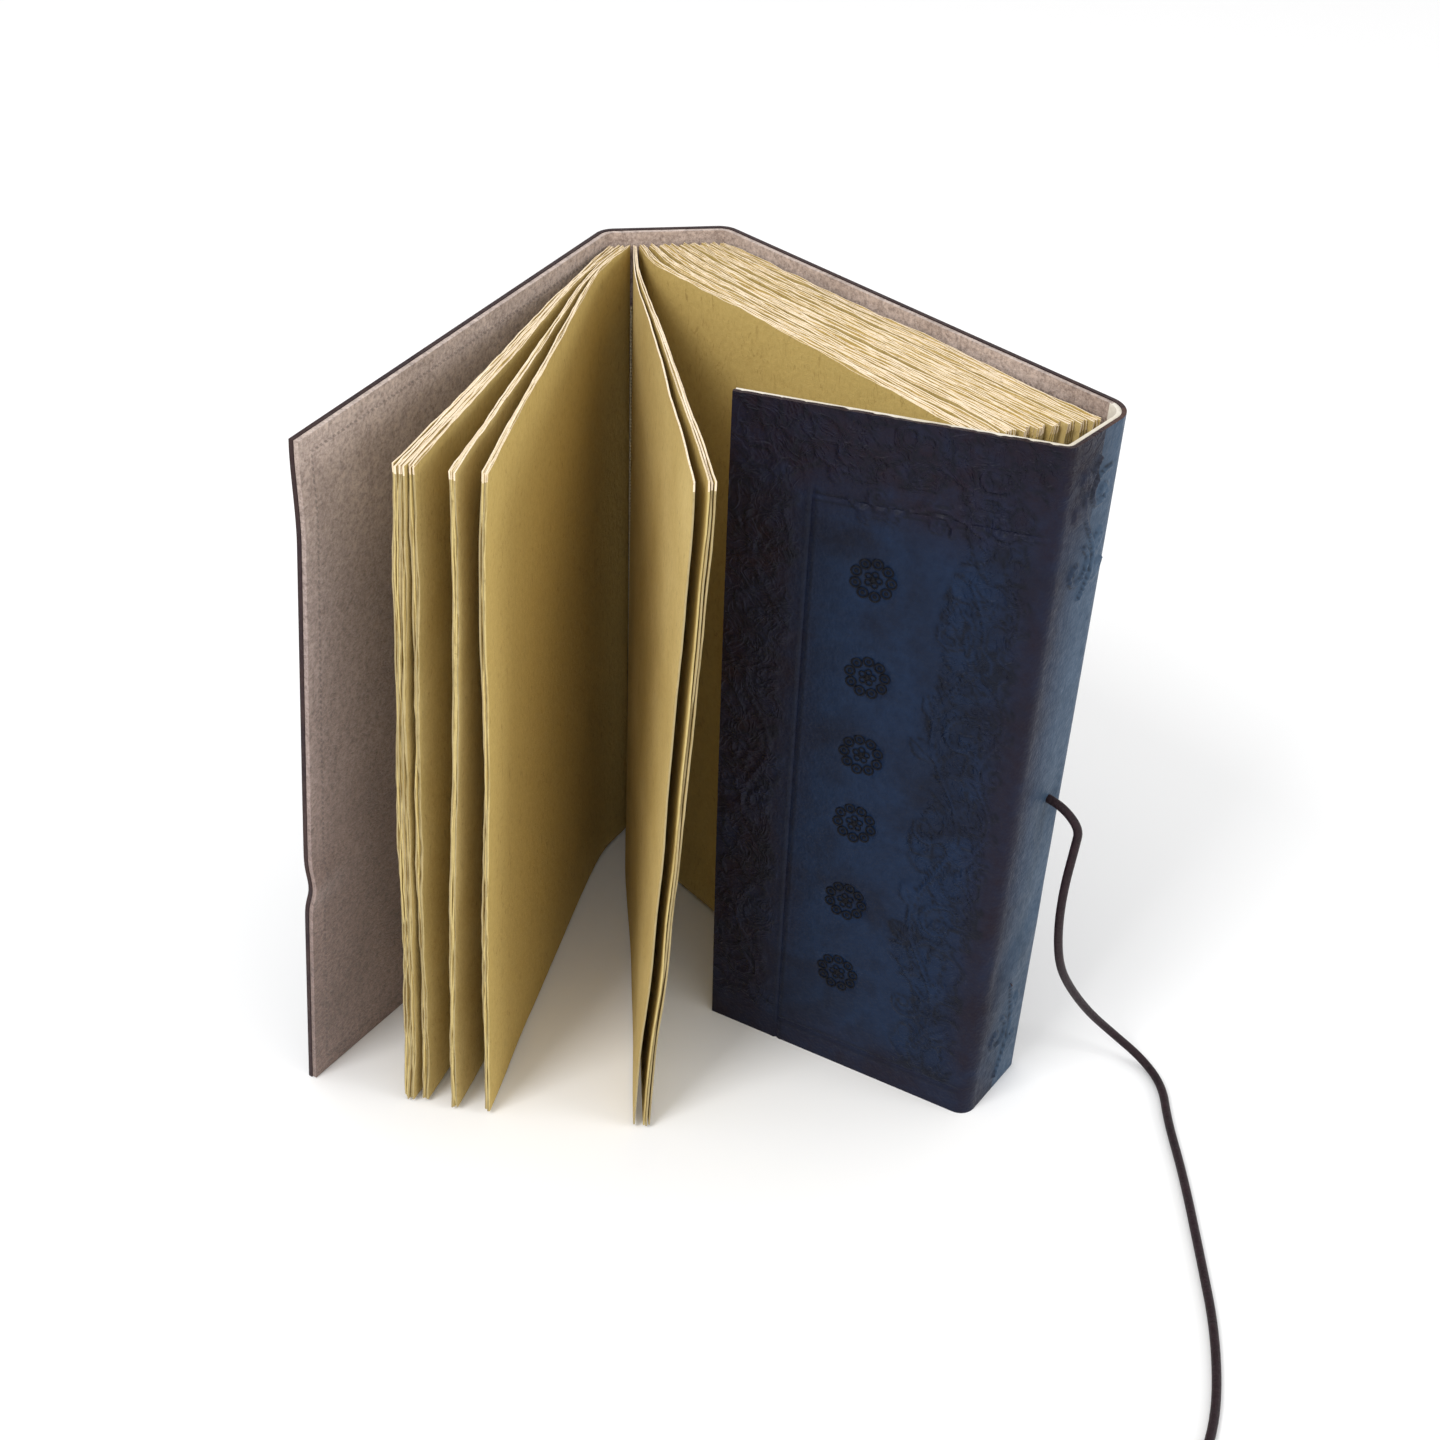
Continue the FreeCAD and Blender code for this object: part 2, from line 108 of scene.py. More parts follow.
def grid(name, columns, rows):
    """A flat primitive grid of columns by rows of points, ready to be shaped."""
    deselect()
    bpy.ops.mesh.primitive_grid_add(x_subdivisions=columns - 1, y_subdivisions=rows - 1, size=1)
    piece = bpy.context.active_object
    piece.name = name
    piece.data.name = name
    return piece


def grid_parameters(piece):
    """The two coordinates of each point of a grid, from 0 to 1."""
    points = np.empty(len(piece.data.vertices) * 3)
    piece.data.vertices.foreach_get("co", points)
    points = points.reshape(-1, 3)
    return points[:, 0] + 0.5, points[:, 1] + 0.5


def set_points(piece, points):
    piece.data.vertices.foreach_set("co", np.asarray(points, dtype=np.float32).ravel())
    piece.data.update()


def give_uv(piece, across, along):
    """A map in metres: across the piece and along its height."""
    layer = piece.data.uv_layers.active or piece.data.uv_layers.new(name="UVMap")
    corners = np.empty(len(piece.data.loops), dtype=np.int32)
    piece.data.loops.foreach_get("vertex_index", corners)
    layer.data.foreach_set("uv", np.stack([across[corners], along[corners]], axis=1).ravel())


def smooth(piece, degrees=35.0):
    make_active(piece)
    bpy.ops.object.shade_smooth_by_angle(angle=math.radians(degrees))


def join(pieces, name):
    deselect()
    for piece in pieces:
        piece.select_set(True)
    bpy.context.view_layer.objects.active = pieces[0]
    bpy.ops.object.join()
    pieces[0].name = name
    pieces[0].data.name = name
    return pieces[0]


def ripple(x, z, seed, size):
    """A smooth seeded wave field between about -1 and 1."""
    rng = np.random.default_rng(seed)
    total = np.zeros_like(x)
    for step in range(5):
        angle = rng.uniform(0, math.tau)
        length = size * rng.uniform(0.7, 1.8)
        phase = rng.uniform(0, math.tau)
        total += np.sin((x * math.cos(angle) + z * math.sin(angle)) * math.tau / length + phase)
    return total / 3.2


# ---- plan geometry read from the frame -----------------------------------------------------

JOINTS = {joint["name"]: joint for joint in frame["joints"]}


class Line:
    """A nearly upright line: its plan position at any height."""

    def __init__(self, foot, head):
        self.foot = np.array(foot[:2], dtype=float)
        self.head = np.array(head[:2], dtype=float)

    def at(self, z):
        share = np.asarray(z)[..., None] / HEIGHT
        return self.foot + (self.head - self.foot) * share


def fold_line(joint):
    origin = np.array(JOINTS[joint]["pos_m"], dtype=float)
    axis = np.array(JOINTS[joint]["axis"], dtype=float)
    foot = origin - axis * origin[2] / axis[2]
    return Line(foot, foot + axis * HEIGHT / axis[2])


def far_line(node, fold):
    """The edge of a CAD panel or stack that lies farthest from its fold."""
    mesh = frame["nodes"][node].data
    points = np.empty(len(mesh.vertices) * 3)
    mesh.vertices.foreach_get("co", points)
    points = points.reshape(-1, 3)
    ends = []
    for level in (points[:, 2].min(), points[:, 2].max()):
        row = points[np.abs(points[:, 2] - level) < 0.2 * MM][:, :2]
        away = np.linalg.norm(row - fold.at(level), axis=1)
        ends.append(row[away > away.max() - 0.7 * MM].mean(axis=0))
    return Line(ends[0], ends[1])


BACK_FOLD = fold_line("back_cover_hinge")
FRONT_FOLD = fold_line("front_cover_hinge")
WRAP_FOLD = fold_line("fore_edge_fold")
FLAP_FOLD = fold_line("flap_fold")
BACK_EDGE = far_line("back_cover_leather", BACK_FOLD)
FLAP_EDGE = far_line("flap_leather", FLAP_FOLD)


def unit(vectors):
    return vectors / np.linalg.norm(vectors, axis=-1, keepdims=True)


def turned_left(vectors):
    return np.stack([-vectors[..., 1], vectors[..., 0]], axis=-1)


def rounded_corner(before, corner, after, radius, distance, z):
    """Point and outward normal at a signed distance past a rounded corner in plan.

    before, corner and after are lines; distance runs from the corner, negative on the side
    of before; radius may differ from point to point.  The outward side is to the left."""
    start = corner.at(z)
    arriving = unit(start - before.at(z))
    leaving = unit(after.at(z) - start)
    cross = arriving[:, 0] * leaving[:, 1] - arriving[:, 1] * leaving[:, 0]
    turn = np.arctan2(cross, (arriving * leaving).sum(axis=1))
    half = np.abs(turn) / 2
    trim = radius * np.tan(half)
    # distances are those of the sharp corner, so that the ends lie where the CAD has them
    bend = np.clip(distance / trim, -1, 1) * half * np.sign(turn)
    middle = unit(arriving + leaving)
    heading = np.stack([middle[:, 0] * np.cos(bend) - middle[:, 1] * np.sin(bend),
                        middle[:, 0] * np.sin(bend) + middle[:, 1] * np.cos(bend)], axis=1)
    centre = start + turned_left(middle) * (np.sign(turn) * radius / np.cos(half))[:, None]
    point = centre - turned_left(heading) * (np.sign(turn) * radius)[:, None]
    beyond = distance - np.clip(distance, -trim, trim)
    point = point + heading * beyond[:, None]
    return point, turned_left(heading)


# ---- tooling of the hide: height of the relief over a panel ---------------------------------

def distance_to_path(x, z, path):
    """Distance of each point from an open path of straight steps."""
    nearest = np.full(x.shape, 1.0)
    for (ax, az), (bx, bz) in zip(path, path[1:]):
        dx, dz = bx - ax, bz - az
        share = np.clip(((x - ax) * dx + (z - az) * dz) / (dx * dx + dz * dz), 0, 1)
        nearest = np.minimum(nearest, np.hypot(x - ax - share * dx, z - az - share * dz))
    return nearest


def ridge(distance, width):
    return np.exp(-(distance / width) ** 2)


def leaf_shape(x, z, cx, cz, angle, length, width):
    """A soft pointed leaf, with a vein pressed along it."""
    along = (x - cx) * math.cos(angle) + (z - cz) * math.sin(angle)
    across = -(x - cx) * math.sin(angle) + (z - cz) * math.cos(angle)
    share = along / length
    inside = np.clip(1 - (2 * share - 1) ** 2, 0, 1)
    body = np.clip(1 - (across / (width * inside + 1e-6)) ** 2, 0, 1) * (inside > 0)
    return np.sqrt(body) * 0.9 - 0.5 * ridge(across, 0.35 * MM) * (inside > 0.15)


def vine(x, z, start, end, band):
    """A scrolling vine with curls, leaves and buds along a straight band."""
    run = math.hypot(end[0] - start[0], end[1] - start[1])
    angle = math.atan2(end[1] - start[1], end[0] - start[0])
    along = (x - start[0]) * math.cos(angle) + (z - start[1]) * math.sin(angle)
    across = -(x - start[0]) * math.sin(angle) + (z - start[1]) * math.cos(angle)
    relief = np.zeros_like(x)
    near = (np.abs(across) < band * 0.62) & (along > -band * 0.5) & (along < run + band * 0.5)
    if not near.any():
        return relief
    s, t = along[near], across[near]
    waves = max(1, round(run / (band * 1.25)))
    step = run / waves
    stem = ridge(t - 0.22 * band * np.sin(math.pi * s / step), 0.8 * MM)
    height = stem * ((s > 0) & (s < run))
    for index in range(waves):
        side = 1 if index % 2 == 0 else -1
        centre = (index + 0.5) * step
        turns = [(centre + (0.30 * band - 0.020 * band * k) * math.cos(side * 0.5 * k + 0.4),
                  -side * 0.16 * band
                  + (0.30 * band - 0.020 * band * k) * math.sin(side * 0.5 * k + 0.4))
                 for k in range(13)]
        height = np.maximum(height, ridge(distance_to_path(s, t, turns), 0.75 * MM))
        height = np.maximum(height, leaf_shape(s, t, centre - 0.3 * step, side * 0.16 * band,
                                               side * 0.9, 0.40 * band, 0.14 * band))
        height = np.maximum(height, leaf_shape(s, t, centre + 0.1 * step, side * 0.2 * band,
                                               side * 0.35, 0.38 * band, 0.13 * band))
        bud = np.hypot(s - centre, t + side * 0.16 * band)
        height = np.maximum(height, np.clip(1 - (bud / (0.09 * band)) ** 2, 0, 1))
    relief[near] = height
    return relief


def groove(distance):
    """A pressed line with a slightly raised lip on each side."""
    return -ridge(distance, 0.5 * MM) + 0.35 * ridge(np.abs(distance) - 1.1 * MM, 0.5 * MM)


def frame_lines(x, z, low, high):
    """A pressed double rectangle between two corners."""
    relief = np.zeros_like(x)
    for inset in (0.0, 2.4 * MM):
        dx = np.minimum(x - low[0] - inset, high[0] - inset - x)
        dz = np.minimum(z - low[1] - inset, high[1] - inset - z)
        edge = np.where((dx > 0) & (dz > 0), np.minimum(dx, dz),
                        np.hypot(np.minimum(dx, 0), np.minimum(dz, 0)))
        relief += groove(edge)
    return relief


def tooled_border(x, z, width, height, band, margin):
    """Relief of a cover: a vine band all round, between the edge and a pressed frame."""
    middle = margin + band / 2
    relief = 0.6 * frame_lines(x, z, (margin + band, margin + band),
                               (width - margin - band, height - margin - band))
    corners = [(middle, middle), (width - middle, middle), (width - middle, height - middle),
               (middle, height - middle)]
    for start, end in zip(corners, corners[1:] + corners[:1]):
        dx, dz = end[0] - start[0], end[1] - start[1]
        run = math.hypot(dx, dz)
        trim = band * 0.45 / run
        first = (start[0] + dx * trim, start[1] + dz * trim)
        last = (end[0] - dx * trim, end[1] - dz * trim)
        relief = np.maximum(relief, vine(x, z, first, last, band)
                            ) + np.minimum(relief, 0) * (relief < 0)
        bloom = np.hypot(x - start[0], z - start[1])
        turn = np.arctan2(z - start[1], x - start[0])
        petals = 0.34 * band * (0.72 + 0.28 * np.cos(5 * turn))
        relief = np.maximum(relief, np.clip(1 - (bloom / petals) ** 2, 0, 1))
    return relief


# ---- materials -------------------------------------------------------------------------------

class Finish:
    """Short ways to build a node material."""

    def __init__(self, name, roughness, **sockets):
        self.material = bpy.data.materials.new(name)
        self.material.use_nodes = True
        self.tree = self.material.node_tree
        self.shader = self.tree.nodes["Principled BSDF"]
        self.shader.inputs["Roughness"].default_value = roughness
        for socket, value in sockets.items():
            self.shader.inputs[socket.replace("_", " ")].default_value = value

    def node(self, kind, inputs=None, **settings):
        made = self.tree.nodes.new("ShaderNode" + kind)
        for key, value in settings.items():
            setattr(made, key, value)
        for key, value in (inputs or {}).items():
            self.put(value, made.inputs[key])
        return made

    def put(self, value, socket):
        if hasattr(value, "is_output"):
            self.tree.links.new(value, socket)
        else:
            socket.default_value = value

    def place(self):
        return self.node("TexCoord").outputs["Object"]

    def stretched(self, source, scale):
        return self.node("Mapping", {"Vector": source, "Scale": scale}).outputs["Vector"]

    def noise(self, source, scale, detail=4.0, rough=0.55, distortion=0.0):
        made = self.node("TexNoise", {"Vector": source, "Scale": scale, "Detail": detail,
                                      "Roughness": rough, "Distortion": distortion})
        return made.outputs["Fac"]

    def ramp(self, factor, *stops):
        made = self.node("ValToRGB", {"Fac": factor})
        ramp = made.color_ramp
        while len(ramp.elements) < len(stops):
            ramp.elements.new(0.5)
        for element, (position, colour) in zip(ramp.elements, stops):
            element.position = position
            element.color = (*colour, 1.0)
        return made.outputs["Color"]

    def mix(self, factor, first, second, blend="MIX"):
        made = self.node("Mix", data_type="RGBA", blend_type=blend)
        for socket, value in ((made.inputs[0], factor), (made.inputs[6], first),
                              (made.inputs[7], second)):
            if isinstance(value, tuple) and len(value) == 3:
                value = (*value, 1.0)
            self.put(value, socket)
        return made.outputs[2]

    def math(self, kind, first, second=0.0):
        made = self.node("Math", operation=kind)
        self.put(first, made.inputs[0])
        self.put(second, made.inputs[1])
        return made.outputs[0]

    def bump(self, height, distance, strength=1.0, under=None):
        made = self.node("Bump", {"Height": height, "Distance": distance, "Strength": strength})
        if under is not None:
            self.tree.links.new(under, made.inputs["Normal"])
        return made.outputs["Normal"]

    def colour(self, output):
        self.tree.links.new(output, self.shader.inputs["Base Color"])

    def roughness(self, output):
        self.tree.links.new(output, self.shader.inputs["Roughness"])

    def normal(self, output):
        self.tree.links.new(output, self.shader.inputs["Normal"])


def hide_finish(name, deep, worn, rub, painted_sheen):
    """Waxed dark hide: mottled dye, pores and creases.  Attributes of the piece say where
    the colour changes: rubbed gives the rub colour, the sheen mask a paler colour as painted
    sheen, cut the dark foot of raised work, and tooled adds the small pressed flowers."""
    finish = Finish(name, 0.45, Specular_IOR_Level=0.16)
    place = finish.place()
    mottle = finish.noise(place, 38.0, 6.0, 0.62, 0.4)
    fine = finish.noise(place, 420.0, 3.0, 0.6)
    pores = finish.node("TexVoronoi", {"Vector": place, "Scale": 950.0}).outputs["Distance"]
    dye = finish.ramp(mottle, (0.30, deep), (0.56, worn), (0.80, deep))
    # Painted sheen: where this attribute is 1 the dye turns to the paler colour, standing in for
    # the light the wrap reflects.
    light = finish.node("Attribute", attribute_name="painted_sheen").outputs["Fac"]
    sheen_colour = finish.ramp(mottle, (0.25, tuple(0.72 * part for part in painted_sheen)), (0.7, painted_sheen))
    dye = finish.mix(light, dye, sheen_colour)
    dark = tuple(0.35 * part for part in deep)
    dye = finish.mix(finish.math("MULTIPLY", fine, 0.45), dye, dark)
    rubbed = finish.node("Attribute", attribute_name="rubbed").outputs["Fac"]
    spots = finish.ramp(finish.noise(place, 75.0, 7.0, 0.7), (0.34, (0.45,) * 3),
                        (0.66, (1, 1, 1)))
    dye = finish.mix(finish.math("MULTIPLY", rubbed, spots), dye, rub)
    cut = finish.node("Attribute", attribute_name="cut").outputs["Fac"]
    finish.colour(finish.mix(finish.math("MULTIPLY", cut, 0.8), dye, dark))
    finish.roughness(finish.ramp(fine, (0.25, (0.40,) * 3), (0.75, (0.62,) * 3)))
    creases = finish.noise(finish.stretched(place, (1.0, 1.0, 0.45)), 170.0, 5.0, 0.7, 1.2)
    band = finish.node("Attribute", attribute_name="tooled").outputs["Fac"]
    curls = finish.noise(place, 115.0, 2.0, 0.5, 2.2)
    petals = finish.ramp(curls, (0.40, (0, 0, 0)), (0.48, (1, 1, 1)), (0.56, (0, 0, 0)))
    height = finish.bump(finish.math("MULTIPLY", petals, band), 0.0009, 0.4)
    height = finish.bump(pores, 0.00022, 0.5, height)
    height = finish.bump(fine, 0.00035, 0.55, height)
    finish.normal(finish.bump(creases, 0.0007, 0.45, height))
    return finish.material


PRICK_INSET = 5.5 * MM
PRICK_WIDTH = 0.9 * MM
PRICK_PITCH = 1.9 * MM


def pricked_shade(finish, colour):
    """A dotted line pressed inside the edges: its shade is painted as dark dots on a UV map in
    metres, with no relief.
    """
    layout = finish.node("SeparateXYZ", {"Vector": finish.node("UVMap").outputs["UV"]})
    x, z = layout.outputs["X"], layout.outputs["Y"]
    edge = finish.math("MINIMUM", x, finish.math("MINIMUM", z, finish.math("SUBTRACT", HEIGHT, z)))
    away = finish.math("ABSOLUTE", finish.math("SUBTRACT", edge, PRICK_INSET))
    line = finish.math("LESS_THAN", away, PRICK_WIDTH / 2)
    wave = finish.math("SINE", finish.math("MULTIPLY", finish.math("ADD", x, z),
                                           math.tau / PRICK_PITCH))
    dots = finish.math("GREATER_THAN", wave, -0.2)
    prick_shade = finish.math("MULTIPLY", finish.math("MULTIPLY", line, dots), 0.45)
    return finish.mix(prick_shade, colour, (0.06, 0.04, 0.035))


def suede_finish(name, light, dark):
    finish = Finish(name, 0.95, Sheen_Weight=0.35, Sheen_Roughness=0.55,
                    Specular_IOR_Level=0.15)
    place = finish.place()
    nap = finish.noise(place, 900.0, 3.0, 0.75)
    patch = finish.noise(finish.stretched(place, (1.0, 1.0, 0.55)), 26.0, 5.0, 0.6, 0.8)
    shade = finish.ramp(patch, (0.3, dark), (0.7, light))
    specks = finish.noise(place, 420.0, 5.0, 0.8)
    nap = finish.math("ADD", finish.math("MULTIPLY", nap, 0.5),
                      finish.math("MULTIPLY", specks, 0.5))
    grains = finish.ramp(nap, (0.38, (0.22, 0.17, 0.15)), (0.58, (1.0, 0.98, 0.96)))
    # Painted light and shade: the lining is multiplied by a ramp over its height, lightest at the
    # head and darkest at the foot.
    height = finish.node("SeparateXYZ", {"Vector": place}).outputs["Z"]
    low = finish.ramp(finish.math("DIVIDE", height, HEIGHT), (0.0, (0.40, 0.32, 0.29)),
                      (0.35, (0.52, 0.44, 0.42)), (0.78, (0.66, 0.61, 0.60)),
                      (1.0, (1.0, 0.97, 0.93)))
    shade = finish.mix(1.0, shade, low, "MULTIPLY")
    finish.colour(pricked_shade(finish, finish.mix(0.75, shade, grains, "MULTIPLY")))
    finish.normal(finish.bump(nap, 0.0008, 0.9))
    return finish.material


def paper_finish(name, light, tan, fibre, other, head=None):
    """Cotton rag paper: a soft tooth, cloudy sizing and scattered fibres.  The tint
    attribute moves a leaf towards the other colour, and head is a painted highlight colour
    for the edges that lie uppermost."""
    finish = Finish(name, 0.88, Specular_IOR_Level=0.15)
    place = finish.place()
    cloud = finish.noise(place, 22.0, 4.0, 0.6, 0.3)
    tooth = finish.noise(place, 620.0, 4.0, 0.7)
    slanted = finish.stretched(place, (1.0, 1.0, 0.35))
    strands = finish.noise(slanted, 300.0, 5.0, 0.8, 2.5)
    base = finish.ramp(cloud, (0.28, tan), (0.72, light))
    tint = finish.node("Attribute", attribute_name="tint").outputs["Fac"]
    base = finish.mix(finish.ramp(tint, (0.55, (0, 0, 0)), (0.8, (1, 1, 1))), base, other)
    if head:
        # Painted highlight: the rims near the head take the light head colour.
        height = finish.node("SeparateXYZ", {"Vector": place}).outputs["Z"]
        top = finish.math("GREATER_THAN", height, HEIGHT - 6.5 * MM)
        head_highlight = finish.mix(finish.math("MULTIPLY", tint, 0.35), head, other)
        base = finish.mix(top, base, head_highlight)
    flecks = finish.ramp(strands, (0.56, (0, 0, 0)), (0.66, (1, 1, 1)))
    base = finish.mix(finish.math("MULTIPLY", flecks, 0.45), base, fibre)
    grain = finish.ramp(tooth, (0.30, (0.80, 0.77, 0.70)), (0.65, (1, 1, 1)))
    finish.colour(finish.mix(0.6, base, grain, "MULTIPLY"))
    rough = finish.bump(tooth, 0.0004, 0.6)
    finish.normal(finish.bump(strands, 0.0005, 0.35, rough))
    return finish.material


def flesh_finish(name, light, tan):
    finish = Finish(name, 0.92, Specular_IOR_Level=0.2, Sheen_Weight=0.2)
    place = finish.place()
    cloud = finish.noise(place, 45.0, 5.0, 0.6, 0.5)
    nap = finish.noise(place, 1100.0, 3.0, 0.7)
    base = finish.ramp(cloud, (0.3, tan), (0.7, light))
    grains = finish.ramp(nap, (0.3, (0.74, 0.70, 0.64)), (0.7, (1, 1, 1)))
    finish.colour(finish.mix(0.5, base, grains, "MULTIPLY"))
    finish.normal(finish.bump(nap, 0.0004, 0.5))
    return finish.material


def cord_finish(name, dark, light):
    """Rolled leather cord, creased round and along its length."""
    finish = Finish(name, 0.5, Specular_IOR_Level=0.25)
    place = finish.place()
    creases = finish.noise(place, 320.0, 5.0, 0.7, 1.5)
    patch = finish.noise(place, 70.0, 3.0, 0.6)
    base = finish.ramp(creases, (0.35, dark), (0.75, light))
    finish.colour(finish.mix(finish.math("MULTIPLY", patch, 0.5), base, dark))
    finish.normal(finish.bump(creases, 0.0007, 0.8))
    return finish.material


def thread_finish(name, colour):
    finish = Finish(name, 0.75)
    place = finish.place()
    ply = finish.node("TexWave", {"Vector": place, "Scale": 520.0, "Distortion": 2.0},
                      bands_direction="DIAGONAL").outputs["Fac"]
    finish.colour(finish.mix(finish.math("MULTIPLY", ply, 0.4), colour,
                             tuple(0.55 * part for part in colour)))
    finish.normal(finish.bump(ply, 0.0003, 0.8))
    return finish.material


def card_finish(name, colour):
    finish = Finish(name, 0.9)
    speck = finish.noise(finish.place(), 500.0, 4.0, 0.7)
    finish.colour(finish.mix(finish.math("MULTIPLY", speck, 0.5), colour,
                             tuple(0.7 * part for part in colour)))
    finish.normal(finish.bump(speck, 0.0003, 0.4))
    return finish.material


# The last colour of each hide is the paler colour of its painted sheen.
HIDE_BLUE = hide_finish("hide_blue", (0.0035, 0.0065, 0.020), (0.0060, 0.020, 0.058),
                        (0.0095, 0.0035, 0.0080), (0.062, 0.110, 0.180))
HIDE_EDGE = hide_finish("hide_edge", (0.045, 0.022, 0.018), (0.085, 0.045, 0.032),
                        (0.020, 0.010, 0.014), (0.10, 0.05, 0.04))
HIDE_DARK = hide_finish("hide_dark", (0.0012, 0.0018, 0.005), (0.002, 0.003, 0.008),
                        (0.002, 0.002, 0.004), (0.002, 0.002, 0.004))
SUEDE = suede_finish("suede", (0.66, 0.56, 0.52), (0.44, 0.35, 0.31))
FLESH = flesh_finish("flesh_side", (0.80, 0.76, 0.68), (0.62, 0.56, 0.44))
PAPER = paper_finish("rag_paper", (0.60, 0.465, 0.200), (0.48, 0.350, 0.125),
                     (0.24, 0.15, 0.040), (0.54, 0.400, 0.140))
# The head colour is a painted highlight on the uppermost edges.
PAPER_EDGE = paper_finish("rag_paper_edge", (0.46, 0.37, 0.20), (0.34, 0.27, 0.13),
                          (0.22, 0.16, 0.06), (0.58, 0.46, 0.20), head=(0.95, 0.80, 0.62))
PLUM = cord_finish("plum_cord", (0.008, 0.002, 0.004), (0.030, 0.010, 0.015))
THREAD = thread_finish("linen_thread", (0.62, 0.54, 0.36))
CARD = card_finish("grey_card", (0.30, 0.28, 0.25))


# ---- camera and tie cord ----------------------------------------------------------------------

def add_camera():
    """Close above and in front of the album, turned a little towards the front cover."""
    place = Vector((-77.9 * MM, -634.6 * MM, 494.0 * MM))
    heading = Vector((0.156, 0.988, 0.0)).normalized()
    pitch, roll = math.radians(35.0), math.radians(2.06)
    forward = heading * math.cos(pitch) - Vector((0, 0, math.sin(pitch)))
    right = heading.cross(Vector((0, 0, 1))).normalized()
    up = right.cross(forward)
    x_axis = right * math.cos(roll) + up * math.sin(roll)
    y_axis = up * math.cos(roll) - right * math.sin(roll)
    turn = Matrix((x_axis, y_axis, -forward)).transposed().to_4x4()
    data = bpy.data.cameras.new("camera")
    data.lens = 55.0
    data.sensor_width = 36.0
    data.clip_start = 0.01
    camera = bpy.data.objects.new("camera", data)
    camera.matrix_world = Matrix.Translation(place) @ turn
    bpy.context.scene.collection.objects.link(camera)
    bpy.context.scene.camera = camera


# The route of the cord from the stopper inside the wrap to the coil, as in the CAD model.
CORD_ROUTE = (
    (96.80, -137.91, 108.6),
    (100.9, -142.0, 108.6),
    (106.2, -147.9, 103.4),
    (105.9, -147.4, 96.5),
    (103.5, -149.6, 82.0),
    (103.8, -149.2, 66.0),
    (106.6, -147.2, 50.0),
    (113.0, -142.8, 36.0),
    (122.4, -138.2, 20.6),
    (132.6, -135.8, 8.4),
    (141.6, -141.4, 1.8),
    (144.6, -154.0, 1.5),
    (141.6, -169.0, 1.5),
    (139.4, -192.0, 1.5),
    (134.8, -222.0, 1.5),
    (129.8, -253.0, 1.5),
    (119.8, -283.0, 1.5),
    (104.2, -303.0, 1.5),
)
COIL_TURNS = 4.0
COIL_POINTS_PER_TURN = 14


def coil_points():
    """Turns beside and on each other: the outer and the inner below, then the same above."""
    low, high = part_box("tie_cord_coil")
    centre = Vector(((low[0] + high[0]) / 2, (low[1] + high[1]) / 2, 0))
    outer = (high[0] - low[0]) / 2 - CORD / 2
    start = math.atan2(CORD_ROUTE[-1][1] * MM - centre.y, CORD_ROUTE[-1][0] * MM - centre.x)
    total = int(COIL_TURNS * COIL_POINTS_PER_TURN)
    points = []
    for step in range(2, total + 1):
        turns = step / COIL_POINTS_PER_TURN
        level = 1 if turns > COIL_TURNS / 2 else 0
        within = turns % (COIL_TURNS / 2)
        inward = min(max(within - 0.85, 0) / 0.3, 1)
        if level:
            inward = 1 - inward
        rise = min(max(turns - COIL_TURNS / 2 + 0.15, 0) / 0.3, 1)
        radius = outer - inward * CORD * 0.98
        angle = start + turns * math.tau
        points.append((centre.x + radius * math.cos(angle), centre.y + radius * math.sin(angle),
                       CORD / 2 + rise * CORD * 0.97 + 0.1 * MM))
    return points


def add_tie_cord():
    points = [tuple(value * MM for value in point) for point in CORD_ROUTE] + coil_points()
    curve = bpy.data.curves.new("tie_cord_strand", "CURVE")
    curve.dimensions = "3D"
    spline = curve.splines.new("NURBS")
    spline.points.add(len(points) - 1)
    for target, point in zip(spline.points, points):
        target.co = (*point, 1.0)
    spline.order_u = 3
    spline.use_endpoint_u = True
    spline.resolution_u = 8
    curve.bevel_depth = CORD / 2
    curve.bevel_resolution = 5
    curve.use_fill_caps = True
    curve.materials.append(PLUM)
    strand = bpy.data.objects.new("tie_cord_strand", curve)
    bpy.context.scene.collection.objects.link(strand)
    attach(strand, "fore_edge_wrap")
    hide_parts("tie_cord", "tie_cord_coil")
    return strand


add_camera()
strand = add_tie_cord()
for node in ("tie_cord_end_knot", "tie_cord_stopper_knot"):
    frame["nodes"][node].data.materials.clear()
    frame["nodes"][node].data.materials.append(PLUM)


# ---- floor and light ---------------------------------------------------------------------------

def add_stage():
    deselect()
    bpy.ops.mesh.primitive_plane_add(size=12, location=(0, 0, 0))
    floor = bpy.context.active_object
    floor.name = "floor"
    finish = Finish("floor_white", 0.9)
    finish.shader.inputs["Base Color"].default_value = (0.93, 0.93, 0.93, 1)
    floor.data.materials.append(finish.material)
    bpy.context.scene.view_settings.view_transform = "Standard"
    world = bpy.data.worlds.new("studio")
    bpy.context.scene.world = world
    world.use_nodes = True
    world.node_tree.nodes["Background"].inputs["Color"].default_value = (1, 1, 1, 1)
    world.node_tree.nodes["Background"].inputs["Strength"].default_value = 0.92
    lamps = (("key", (-1.0, -0.9, 1.5), 0.7, 17.0), ("side", (1.3, -0.8, 0.7), 0.6, 6.0))
    for name, place, spread, power in lamps:
        data = bpy.data.lights.new(name, "AREA")
        data.size = spread
        data.energy = power
        lamp = bpy.data.objects.new(name, data)
        lamp.location = place
        aim = Vector((0.0, -0.08, 0.11)) - Vector(place)
        lamp.rotation_euler = aim.to_track_quat("-Z", "Y").to_euler()
        bpy.context.scene.collection.objects.link(lamp)


add_stage()


# ---- hide and lining ----------------------------------------------------------------------------

